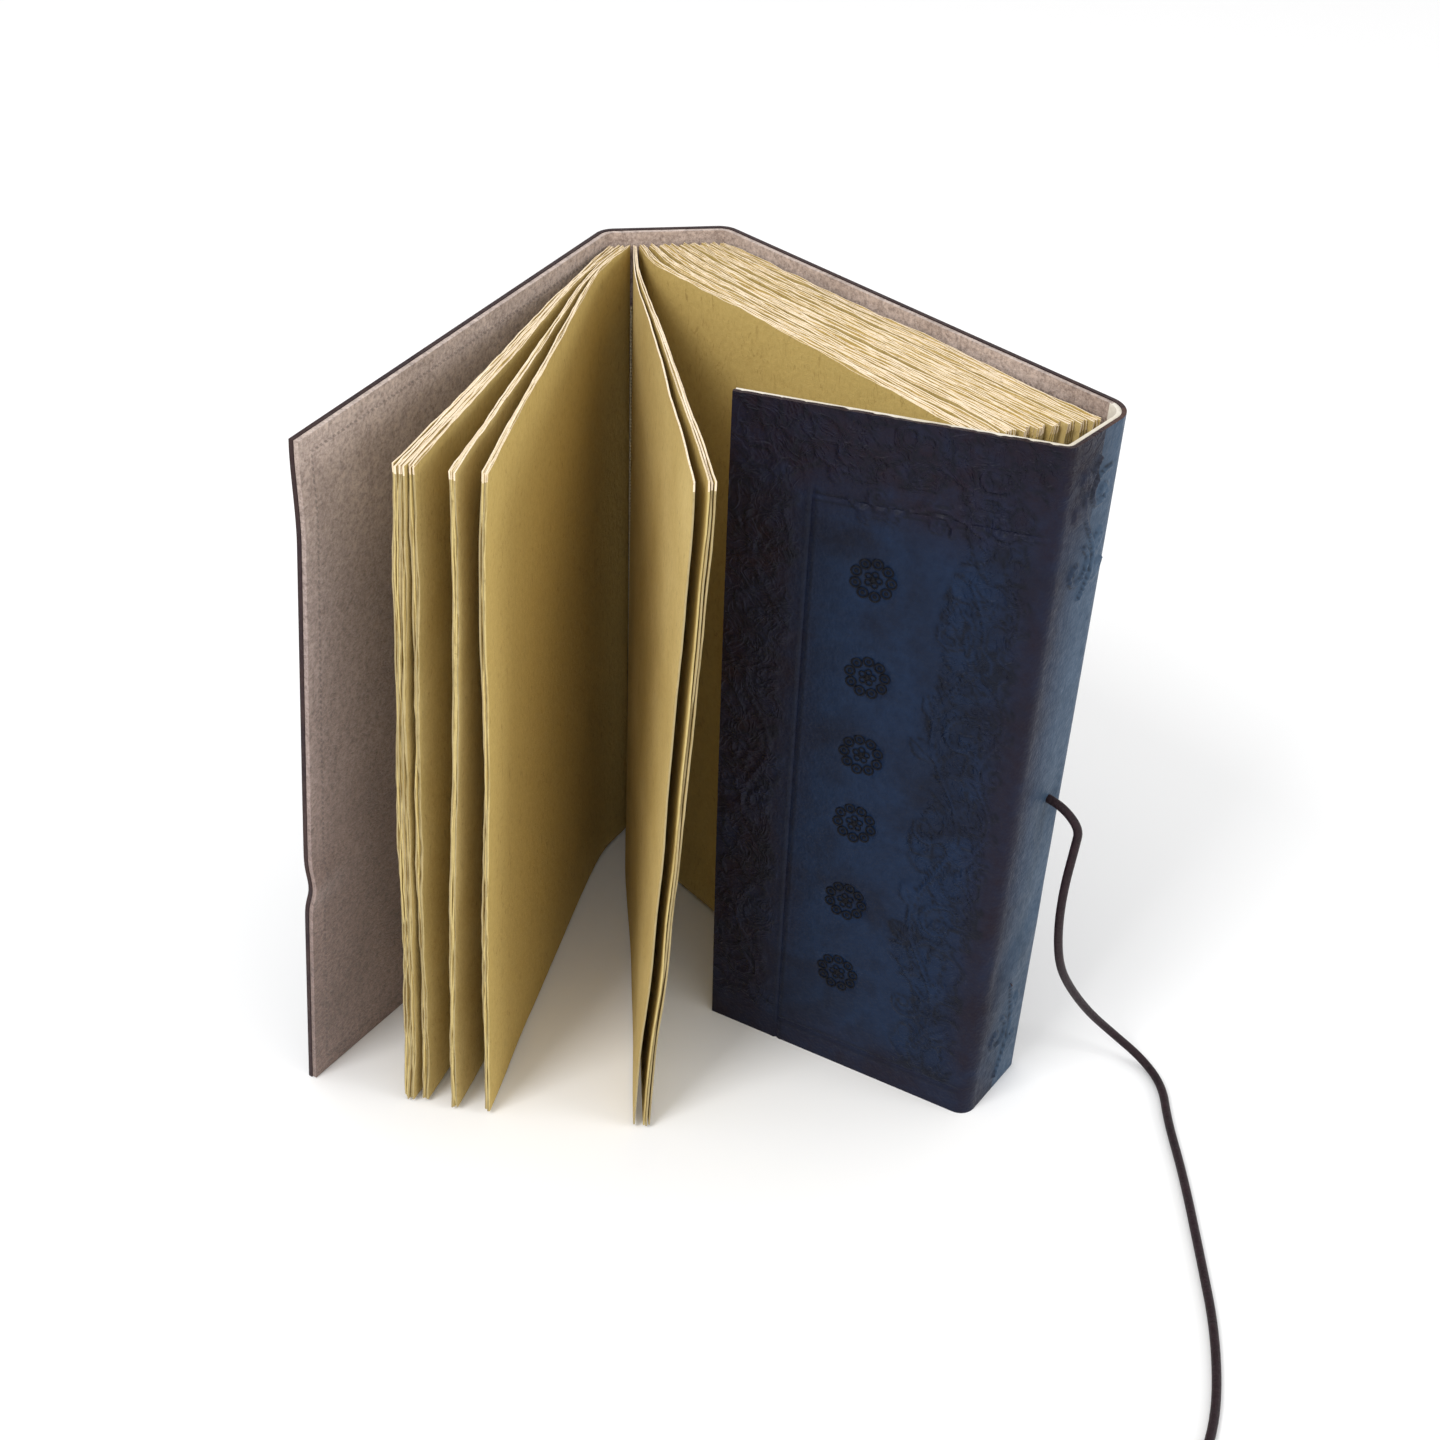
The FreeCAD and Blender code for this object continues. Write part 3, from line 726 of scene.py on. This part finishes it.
COVER = float(np.linalg.norm(WRAP_FOLD.head - FRONT_FOLD.head))
WRAP = float(np.linalg.norm(FLAP_FOLD.head - WRAP_FOLD.head))
FLAP = float(np.linalg.norm(FLAP_EDGE.head - FLAP_FOLD.head))
SPINE = float(np.linalg.norm(FRONT_FOLD.head - BACK_FOLD.head))
RELIEF = 0.85 * MM              # height of the vines above the hide
BAND = 17.0 * MM                # width of the vine band round a cover
MARGIN = 3.0 * MM               # from the cover's edge to the band
COVER_BOW = 2.0 * MM            # how far the back cover's free edge bows inwards
EDGE_PINCH = 1.6 * MM           # depth of the dent in that edge
PINCH_HEIGHT = 80 * MM
STAMP_BED = 7.6 * MM            # radius of the hollow round each stamp of the flap
HOLE = np.array(CORD_ROUTE[0]) * MM
HOLE_FROM_FOLD = float(np.linalg.norm(HOLE[:2] - WRAP_FOLD.at(np.array(HOLE[2]))))


def rise(value, low, high):
    """A smooth step from 0 to 1."""
    share = np.clip((value - low) / (high - low), 0, 1)
    return share * share * (3 - 2 * share)


def back_path(distance, z):
    """The back cover bows inwards below its head corner, most at its free edge."""
    point, normal = rounded_corner(BACK_EDGE, BACK_FOLD, FRONT_FOLD, 6.0 * MM, distance, z)
    reach = np.clip(-distance / COVER, 0, 1) ** 2
    bow = rise(HEIGHT - z, 0, 32 * MM) * (0.25 + 0.75 * z / HEIGHT)
    pinch = ridge(z - PINCH_HEIGHT, 6 * MM) * ridge(distance + COVER, 12 * MM)
    point = point - normal * (reach * bow * COVER_BOW + pinch * EDGE_PINCH)[:, None]
    return point, normal


def spine_front_path(distance, z):
    return rounded_corner(BACK_FOLD, FRONT_FOLD, WRAP_FOLD, 6.0 * MM, distance, z)


def fore_edge_path(distance, z):
    """Softly rounded at the head and creased sharper at the foot."""
    radius = (3.5 + 5.0 * z / HEIGHT) * MM
    point, normal = rounded_corner(FRONT_FOLD, WRAP_FOLD, FLAP_FOLD, radius, distance, z)
    return point + normal * wrap_sag(distance, z)[:, None], normal


def flap_path(distance, z):
    radius = (4.5 - 1.5 * z / HEIGHT) * MM
    point, normal = rounded_corner(WRAP_FOLD, FLAP_FOLD, FLAP_EDGE, radius, distance, z)
    return point + normal * wrap_sag(distance + WRAP, z)[:, None], normal


def wrap_sag(distance, z):
    """The wrap is drawn in round the cord hole and creased below it; distance runs from
    the fore-edge fold."""
    inside = rise(distance, 0, 8 * MM) * rise(WRAP - distance, 0, 8 * MM)
    from_hole = np.hypot(distance - HOLE_FROM_FOLD, z - HOLE[2])
    pucker = 0.9 * MM * ridge(from_hole, 9 * MM)
    slope = (z - 62 * MM) + 0.9 * (distance - WRAP / 2)
    crease = 0.7 * MM * ridge(slope, 8 * MM) - 0.5 * MM * ridge(slope + 16 * MM, 8 * MM)
    return -(pucker + crease) * inside


def no_relief(distance, z):
    return np.zeros_like(z)


def cover_relief(distance, z):
    """Distances run from the spine fold towards the fore-edge."""
    return RELIEF * tooled_border(distance, z, COVER, HEIGHT, BAND, MARGIN)


def back_relief(distance, z):
    return cover_relief(-distance, z) * rise(-distance, 2 * MM, 5 * MM)


def front_relief(distance, z):
    return cover_relief(distance, z) * rise(distance, 2 * MM, 5 * MM)


def wrap_relief(distance, z):
    """Vines at the head and foot of the wrap, and a plain middle."""
    relief = np.zeros_like(z)
    for low, reach in ((5 * MM, 38 * MM), (HEIGHT - 52 * MM, 44 * MM)):
        relief = np.maximum(relief, vine(distance, z, (WRAP / 2, low), (WRAP / 2, low + reach),
                                         22 * MM))
    return RELIEF * relief * rise(distance, 2 * MM, 5 * MM) * rise(WRAP - distance, 1 * MM, 4 * MM)


def fore_edge_relief(distance, z):
    outer = cover_relief(distance + COVER, z) * rise(-distance, 3 * MM, 6 * MM)
    return np.where(distance < 0, outer, wrap_relief(distance, z))


def flap_relief(distance, z):
    """Vine bands along the free edge, the head and beside the fold, round a plain panel
    with a pressed frame.  Distances run from the fold; the wrap is on the negative side."""
    relief = np.zeros_like(z)
    low, high = 15 * MM, HEIGHT - 14 * MM
    edge, fold, panel = FLAP - 12 * MM, 21 * MM, FLAP - 24 * MM
    for start, end, band in (((edge, low), (edge, high), 18 * MM),
                             ((panel, high), (9 * MM, high), 17 * MM),
                             ((FLAP - 34 * MM, high - 12 * MM), (6 * MM, high - 14 * MM), 14 * MM),
                             ((fold, low + 4 * MM), (fold, high - 30 * MM), 25 * MM),
                             ((fold - 12 * MM, low + 50 * MM), (fold - 12 * MM, high - 30 * MM),
                              13 * MM)):
        relief = np.maximum(relief, vine(distance, z, start, end, band))
    relief *= 0.65 + 0.35 * ripple(distance, z, 21, 0.04)
    petals = ridge(ripple(distance, z, 41, 7 * MM), 0.22) * flap_band(distance, z)
    relief = np.maximum(relief, 0.45 * petals)
    frame_line = np.where(z < HEIGHT - 25 * MM, distance - panel, 1.0)
    head_line = np.where(distance < panel, z - (HEIGHT - 27 * MM), 1.0)
    foot_line = np.where(distance < panel, z - 9 * MM, 1.0)
    for line in (frame_line, head_line, foot_line):
        relief += 0.5 * groove(line)
    relief *= rise(distance, 1 * MM, 5 * MM) * rise(FLAP - distance, 0, 3 * MM)
    for x, height in STAMPS:
        away = np.hypot(distance - x, z - height)
        bed = -0.55 * rise(STAMP_BED - away, 0, 1.2 * MM)
        relief = np.where(away < STAMP_BED, bed, relief)
    return np.where(distance > 0, RELIEF * relief, wrap_relief(distance + WRAP, z))


def flap_rub(distance, z):
    """Darkened, purple borders round a blue panel, and a rubbed line on the fold."""
    edge = FLAP - distance
    border = 1 - rise(edge + 3 * MM * ripple(distance, z, 3, 0.03), 12 * MM, 34 * MM)
    head = 1 - rise(HEIGHT - z + 4 * MM * ripple(distance, z, 5, 0.04), 14 * MM, 44 * MM)
    foot = 0.75 * (1 - rise(z, 3 * MM, 22 * MM))
    fold = 0.85 * ridge(distance - 2 * MM, 8 * MM)
    return np.clip(np.maximum.reduce([border, head, foot, fold]), 0, 1)


def cover_rub(distance, z):
    across = np.abs(distance)
    edge = np.minimum(np.minimum(z, HEIGHT - z), np.minimum(across, COVER - across))
    return 1 - rise(edge + 3 * MM * ripple(distance, z, 4, 0.04), 2 * MM, 26 * MM)


def wrap_painted_sheen(distance, z):
    """0 on the flap's dark hide, 1 on the middle of the wrap, where a paler colour paints a sheen.
    """
    return rise(-distance, 0, 0.8 * WRAP)


def flap_band(distance, z):
    """Where the small flowers are pressed: a frame round the panel, ragged inwards."""
    edge = np.minimum(FLAP - distance, HEIGHT - z) + 2.5 * MM * ripple(distance, z, 31, 0.02)
    frame = 1 - rise(edge, 17 * MM, 20 * MM)
    beside = distance + 4 * MM * ripple(distance, z, 33, 0.03)
    fold = (1 - rise(beside, 24 * MM, 28 * MM)) * rise(distance, 5 * MM, 8 * MM)
    return np.maximum(frame, fold) * rise(z, 8 * MM, 14 * MM)


def outlines(relief):
    """Marks the foot of each raised shape, which the hide finish paints darker."""
    if relief is no_relief:
        return None
    return lambda distance, z: ridge(relief(distance, z) / RELIEF - 0.24, 0.16)


def strip(name, cell, reach, path, inward, thickness, finishes, relief=no_relief,
          rubbed=None, painted_sheen=None, trim=0.0):
    """A closed strip of hide or lining that follows a plan path.

    reach holds the signed distances where it starts and ends and inward is how far its
    outer face lies inside the middle of the hide.  Rims take the second finish."""
    columns, rows = int(abs(reach[1] - reach[0]) / cell), int(HEIGHT / cell)
    piece = grid(name, columns, rows)
    u, v = grid_parameters(piece)
    distance = reach[0] + (reach[1] - reach[0]) * u
    z = trim + v * (HEIGHT - 2 * trim)
    point, normal = path(distance, z)
    lift = relief(distance, z)
    outer = point + normal * (lift - inward)[:, None]
    set_points(piece, np.concatenate([outer, z[:, None]], axis=1))
    give_uv(piece, u * (reach[1] - reach[0]), z)
    band = flap_band if relief is flap_relief else None
    for attribute, values in (("rubbed", rubbed), ("painted_sheen", painted_sheen), ("cut", outlines(relief)),
                              ("tooled", band)):
        if values is not None:
            layer = piece.data.attributes.new(attribute, "FLOAT", "POINT")
            layer.data.foreach_set("value", values(distance, z).astype(np.float32))
    for finish in finishes:
        piece.data.materials.append(finish)
    first = piece.data.polygons[0]
    if Vector(first.normal).xy.dot(Vector(normal[first.vertices[0]])) < 0:
        piece.data.flip_normals()
    apply_modifier(piece, "SOLIDIFY", thickness=thickness, offset=-1.0, use_rim=True,
                   material_offset_rim=1, material_offset=1)
    smooth(piece, 40)
    return piece


def bend_over(piece, first, second, fold, before, after, reach, slot, *nodes):
    """Bake a piece's transform and hide the CAD parts it replaces; the fold's axis and the
    direction across it are worked out but not used.
    """
    foot = Vector((*fold.foot, 0))
    head = Vector((*fold.head, HEIGHT))
    axis = (head - foot).normalized()
    arriving = Vector((*unit(fold.head - before.head), 0))
    leaving = Vector((*unit(after.head - fold.head), 0))
    across = (arriving + leaving).normalized()
    across -= axis * across.dot(axis)
    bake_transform(piece)
    if nodes:
        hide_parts(*nodes)


# Stamped rosettes down the flap: distance from its fold, and height.
STAMPS = tuple((FLAP - 44 * MM + shift * MM, height * MM) for shift, height in
               ((1.0, 180.0), (0.0, 148.0), (-0.5, 121.0), (-0.5, 96.0), (0.0, 66.0),
                (0.5, 37.0)))
HIDE_OUT = -HIDE / 2
LINING_OUT = HIDE / 2 + 0.02 * MM
hide_finishes = (HIDE_BLUE, HIDE_EDGE)

back_hide = strip("back_cover_hide", 0.96 * MM, (-COVER, SPINE / 2), back_path, HIDE_OUT, HIDE,
                  hide_finishes, back_relief, cover_rub)
front_hide = strip("front_cover_hide", 0.96 * MM, (-SPINE / 2, COVER * 0.9), spine_front_path,
                   HIDE_OUT, HIDE, hide_finishes, front_relief, cover_rub)
# The last mask paints a sheen on the wrap as a paler colour, fading out towards the flap.
fore_edge_hide = strip("fore_edge_hide", 0.7 * MM, (-COVER * 0.1, WRAP / 2), fore_edge_path,
                       HIDE_OUT, HIDE, hide_finishes, fore_edge_relief,
                       lambda distance, z: cover_rub(distance + COVER, z) * (distance < 0),
                       lambda distance, z: rise(distance, -6 * MM, 2 * MM)
                       * rise(WRAP - distance, 0, 0.8 * WRAP))
flap_hide = strip("flap_hide", 0.74 * MM, (-WRAP / 2, FLAP), flap_path, HIDE_OUT, HIDE,
                  hide_finishes, flap_relief, flap_rub, wrap_painted_sheen)

suede_finishes = (SUEDE, SUEDE)
flesh_finishes = (FLESH, FLESH)
back_lining = strip("back_cover_lining_suede", 1.6 * MM, (-COVER + 0.3 * MM, SPINE / 2),
                    back_path, LINING_OUT, LINING, suede_finishes, trim=0.3 * MM)
front_lining = strip("front_cover_lining_suede", 1.6 * MM, (-SPINE / 2, COVER - 6 * MM),
                     spine_front_path, LINING_OUT, LINING, suede_finishes, trim=0.3 * MM)
wrap_lining = strip("fore_edge_lining_flesh", 1.2 * MM, (-6 * MM, WRAP / 2), fore_edge_path,
                    LINING_OUT, LINING, flesh_finishes, trim=0.3 * MM)
flap_lining = strip("flap_lining_flesh", 1.6 * MM, (-WRAP / 2, FLAP - 0.3 * MM), flap_path,
                    LINING_OUT, LINING, flesh_finishes, trim=0.3 * MM)

# The card in the back cover bends with the cover, inside the lining.
back_card = strip("back_cover_card", 4 * MM, (BOARD_INSET - COVER, -4 * MM), back_path,
                  LINING_OUT + (LINING - BOARD) / 2, BOARD, (CARD, CARD), trim=BOARD_INSET)
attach(back_card, "back_cover")
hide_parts("back_cover_board")

for piece, slot, nodes in ((back_hide, "leather_blue", ("back_cover_leather",)),
                           (back_lining, "suede_brown", ("back_cover_lining",))):
    bend_over(piece, "back_cover", "spine", BACK_FOLD, BACK_EDGE, FRONT_FOLD, 4 * MM, slot,
              *nodes)
for piece, slot, nodes in (
        (front_hide, "leather_blue", ("spine_leather", "front_cover_leather")),
        (front_lining, "suede_brown", ("spine_lining", "front_cover_lining"))):
    bend_over(piece, "spine", "front_cover", FRONT_FOLD, BACK_FOLD, WRAP_FOLD, 4 * MM, slot,
              *nodes)
for piece, slot, nodes in ((fore_edge_hide, "leather_blue", ("fore_edge_leather",)),
                           (wrap_lining, "hide_flesh", ("fore_edge_lining",))):
    bend_over(piece, "front_cover", "fore_edge_wrap", WRAP_FOLD, FRONT_FOLD, FLAP_FOLD, 6 * MM,
              slot, *nodes)
for piece, slot, nodes in ((flap_hide, "leather_blue", ("flap_leather",)),
                           (flap_lining, "hide_flesh", ("flap_lining",))):
    bend_over(piece, "fore_edge_wrap", "flap", FLAP_FOLD, WRAP_FOLD, FLAP_EDGE, 5 * MM, slot,
              *nodes)

for node, finish in (("spine_board", CARD),
                     ("front_cover_board", CARD), ("spine_stitches", THREAD),
                     ("gutter_thread", THREAD)):
    frame["nodes"][node].data.materials.clear()
    frame["nodes"][node].data.materials.append(finish)


# ---- stamped rosettes ---------------------------------------------------------------------------

def flap_place(x, z):
    """Matrix of a spot on the flap's outer face: X along the flap, Z out of it."""
    point, normal = flap_path(np.array([x]), np.array([z]))
    beside, _ = flap_path(np.array([x + MM]), np.array([z]))
    above, _ = flap_path(np.array([x]), np.array([z + MM]))
    out = Vector((*normal[0], 0))
    along = (Vector((*beside[0], z)) - Vector((*point[0], z))).normalized()
    up = (Vector((*above[0], z + MM)) - Vector((*point[0], z))).normalized()
    out = along.cross(up) if along.cross(up).dot(out) > 0 else up.cross(along)
    out.normalize()
    side = up.cross(out)
    spot = Vector((*point[0], z)) + out * (HIDE / 2 - 0.20 * MM)
    turn = Matrix((side, up, out)).transposed().to_4x4()
    return Matrix.Translation(spot) @ turn


def ring(radius, wire, place, squeeze=1.0):
    deselect()
    bpy.ops.mesh.primitive_torus_add(major_segments=26, minor_segments=6, major_radius=radius,
                                     minor_radius=wire, location=place)
    piece = bpy.context.active_object
    piece.scale = (1, squeeze, 0.8)
    bpy.ops.object.transform_apply(location=True, rotation=True, scale=True)
    return piece


def boss(radius, place, height):
    deselect()
    bpy.ops.mesh.primitive_uv_sphere_add(segments=16, ring_count=8, radius=radius,
                                         location=place)
    piece = bpy.context.active_object
    piece.scale = (1, 1, height / radius)
    bpy.ops.object.transform_apply(location=False, rotation=True, scale=True)
    bpy.ops.object.transform_apply(location=True, rotation=False, scale=False)
    return piece


def rosette(index, x, z):
    """Rings round a small flower, pressed into the hide."""
    rings = 9
    pieces = []
    for k in range(rings):
        angle = math.tau * (k + 0.25 * index) / rings
        spot = (5.3 * MM * math.cos(angle), 5.3 * MM * math.sin(angle), 0)
        pieces.append(ring(1.45 * MM, 0.3 * MM, spot))
        pieces.append(boss(0.62 * MM, spot, 0.16 * MM))
    for k in range(5):
        angle = math.tau * (k + 0.1 * index) / 5
        spot = (1.75 * MM * math.cos(angle), 1.75 * MM * math.sin(angle), 0)
        pieces.append(ring(0.88 * MM, 0.22 * MM, spot))
    pieces.append(boss(0.75 * MM, (0, 0, 0), 0.25 * MM))
    for piece in pieces:
        piece.data.materials.append(HIDE_DARK)
    stamp = join(pieces, "rosette_%d" % index)
    stamp.data.transform(flap_place(x, z))
    smooth(stamp, 50)
    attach(stamp, "flap")


for index, (x, z) in enumerate(STAMPS):
    rosette(index, x, z)


# ---- leaves -----------------------------------------------------------------------------------

LEAF_COLUMNS = 44
LEAF_ROWS = 46
PAPER_AT_FOLD = 0.20 * MM       # leaves are drawn thicker towards their soft fore-edges
PITCH_AT_FOLD = 0.25 * MM
DECKLE = 0.8 * MM               # how far the torn fore-edge strays
DECKLE_ENDS = 0.5 * MM          # and the torn head and tail


class Bow:
    """How a signature's leaves bow to one side: size, distance over which the bow grows
    from the fold, and how soon it fades towards the fore-edge."""

    def __init__(self, size, growth, fade):
        self.size, self.growth, self.fade = size * MM, growth * MM, fade

    def at(self, s, width):
        grown = 1 - np.exp(-(s / self.growth) ** 1.5)
        return self.size * grown * (1 - np.clip(s / width, 0, 1)) ** self.fade


class Gathering:
    """The fold and the middle plane of a signature, read from its CAD node."""

    def __init__(self, node, bow, seed):
        joint = [j for j in JOINTS.values() if j["child"] == "leaves_" + node[10:]]
        joint = joint or [j for j in JOINTS.values() if j["child"] == "leaves_" + node[10:12]]
        self.fold = np.array(joint[0]["pos_m"][:2])
        low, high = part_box(node)
        self.low, self.high = low[2], high[2]
        self.edge = far_line(node, Line(self.fold, self.fold))
        self.width = float(np.linalg.norm(self.edge.head - self.fold))
        self.bow, self.seed = bow, seed

    def place(self, s, z, offset_fold, offset_edge, private, lean=(0.0, 0.0)):
        """Plan position of leaf points: s along the leaf, offsets across it.

        lean shifts the leaf's fore-edge away from the middle plane, at foot and head."""
        share = (z - self.low) / (self.high - self.low)
        far = self.edge.foot + (self.edge.head - self.edge.foot) * share[:, None]
        along = unit(far - self.fold)
        across = turned_left(along)
        t = np.clip(s / self.width, 0, 1)
        shared = ripple(s, z, self.seed, 0.12) * 0.9 * MM * t
        shared += ripple(s, z, self.seed + 500, 0.045) * 0.22 * MM * t
        own = ripple(s, z, self.seed * 31 + private, 0.06) * 0.12 * MM * t
        edge = offset_edge + (lean[0] + (lean[1] - lean[0]) * share) * MM
        away = offset_fold + (edge - offset_fold) * t + self.bow.at(s, self.width)
        return self.fold + along * s[:, None] + across * (away + shared + own)[:, None]


def deckle(z, seed, size):
    """How far a torn edge strays at each height."""
    rng = np.random.default_rng(seed)
    total = np.zeros_like(z)
    for length, height in ((0.09, 0.55), (0.03, 0.34), (0.011, 0.24), (0.004, 0.16)):
        total += height * np.sin(z * math.tau / (length * rng.uniform(0.8, 1.25))
                                 + rng.uniform(0, math.tau))
    return total * size


def leaf(gathering, name, offset_fold, offset_edge, private, thickness, lean):
    """One leaf with torn edges, from the fold to the fore-edge."""
    piece = grid(name, LEAF_COLUMNS, LEAF_ROWS)
    u, v = grid_parameters(piece)
    s = (u ** 1.35) * gathering.width
    z = gathering.low + v * (gathering.high - gathering.low)
    seed = gathering.seed * 100 + private
    s = s + deckle(z, seed, DECKLE) * np.clip((u - 0.9) / 0.1, 0, 1) - DECKLE * u
    tail = np.clip((0.05 - v) / 0.05, 0, 1)
    head = np.clip((v - 0.95) / 0.05, 0, 1)
    z = z + (deckle(s, seed + 7, DECKLE_ENDS) + DECKLE_ENDS) * tail * 0.8
    z = z + (deckle(s, seed + 13, DECKLE_ENDS) - DECKLE_ENDS) * head
    plan = gathering.place(s, z, offset_fold, offset_edge, private, lean)
    set_points(piece, np.concatenate([plan, z[:, None]], axis=1))
    give_uv(piece, s, z)
    tint = piece.data.attributes.new("tint", "FLOAT", "POINT")
    shade = np.random.default_rng(seed + 3).uniform(0, 1)
    tint.data.foreach_set("value", np.full(len(s), shade, dtype=np.float32))
    group = piece.vertex_groups.new(name="thickness")
    share = PAPER_AT_FOLD / thickness
    for index, value in enumerate(share + (1 - share) * np.clip(u * 1.5, 0, 1)):
        group.add([index], float(value), "REPLACE")
    piece.data.materials.append(PAPER)
    piece.data.materials.append(PAPER_EDGE)
    apply_modifier(piece, "SOLIDIFY", thickness=thickness, offset=0.0, use_rim=True,
                   material_offset_rim=1, vertex_group="thickness")
    return piece


def signature(node, bow, pitch, gap_fold=0.0, side=0, leans=None, fill=0.97):
    """All leaves of a signature, from its -X side to its +X side.

    pitch is the spacing of the leaves at the fore-edge; side is -1 or 1 for the half of an
    opened signature, and gap_fold is then half the opening in its fold."""
    number = int(node[10:12])
    gathering = Gathering(node, bow, seed=number + 40 * side + 60)
    count = LEAVES_PER_HALF if side else 2 * LEAVES_PER_HALF
    rng = np.random.default_rng(number * 17 + side + 1)
    steps = 1 + 0.25 * rng.uniform(-1, 1, count)
    places = (np.cumsum(steps) - steps / 2) / steps.sum() * count
    leaves = []
    for index in range(count):
        slot_fold = (index + 0.5 - count / 2) * PITCH_AT_FOLD
        slot_fold += side * (gap_fold + count / 2 * PITCH_AT_FOLD)
        slot_edge = (places[index] - count / 2) * pitch
        lean = leans[index] if leans else (0.0, 0.0)
        leaves.append(leaf(gathering, "%s_leaf_%d" % (node, index), slot_fold, slot_edge,
                           index, pitch * fill, lean))
    piece = join(leaves, node + "_leaves")
    smooth(piece, 50)
    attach(piece, "leaves_02" if number == 2 else "leaves_" + node[10:])
    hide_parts(node)
    return piece


signature("signature_01", Bow(-2.07, 30, 1.2), 0.46 * MM)
signature("signature_02_back", Bow(-4.9, 22, 1.2), 0.46 * MM, 0.03 * MM, -1)
signature("signature_02_front", Bow(-5.0, 18, 1.2), 0.46 * MM, 0.03 * MM, 1)
signature("signature_03_left", Bow(-5.4, 13, 1.0), 0.46 * MM, 0.45 * MM, -1)
signature("signature_03_right", Bow(-4.0, 20, 3.0), 0.62 * MM, 0.45 * MM, 1,
          leans=[(-1.6, -2.4), (0.8, 0.8), (0.8, 1.0), (1.0, 1.2)], fill=0.8)
for number in range(4, 13):
    share = (number - 4) / 8
    signature("signature_%02d" % number, Bow(-5.6 + 4.6 * share, 10 + 25 * share, 1.6),
              0.44 * MM)
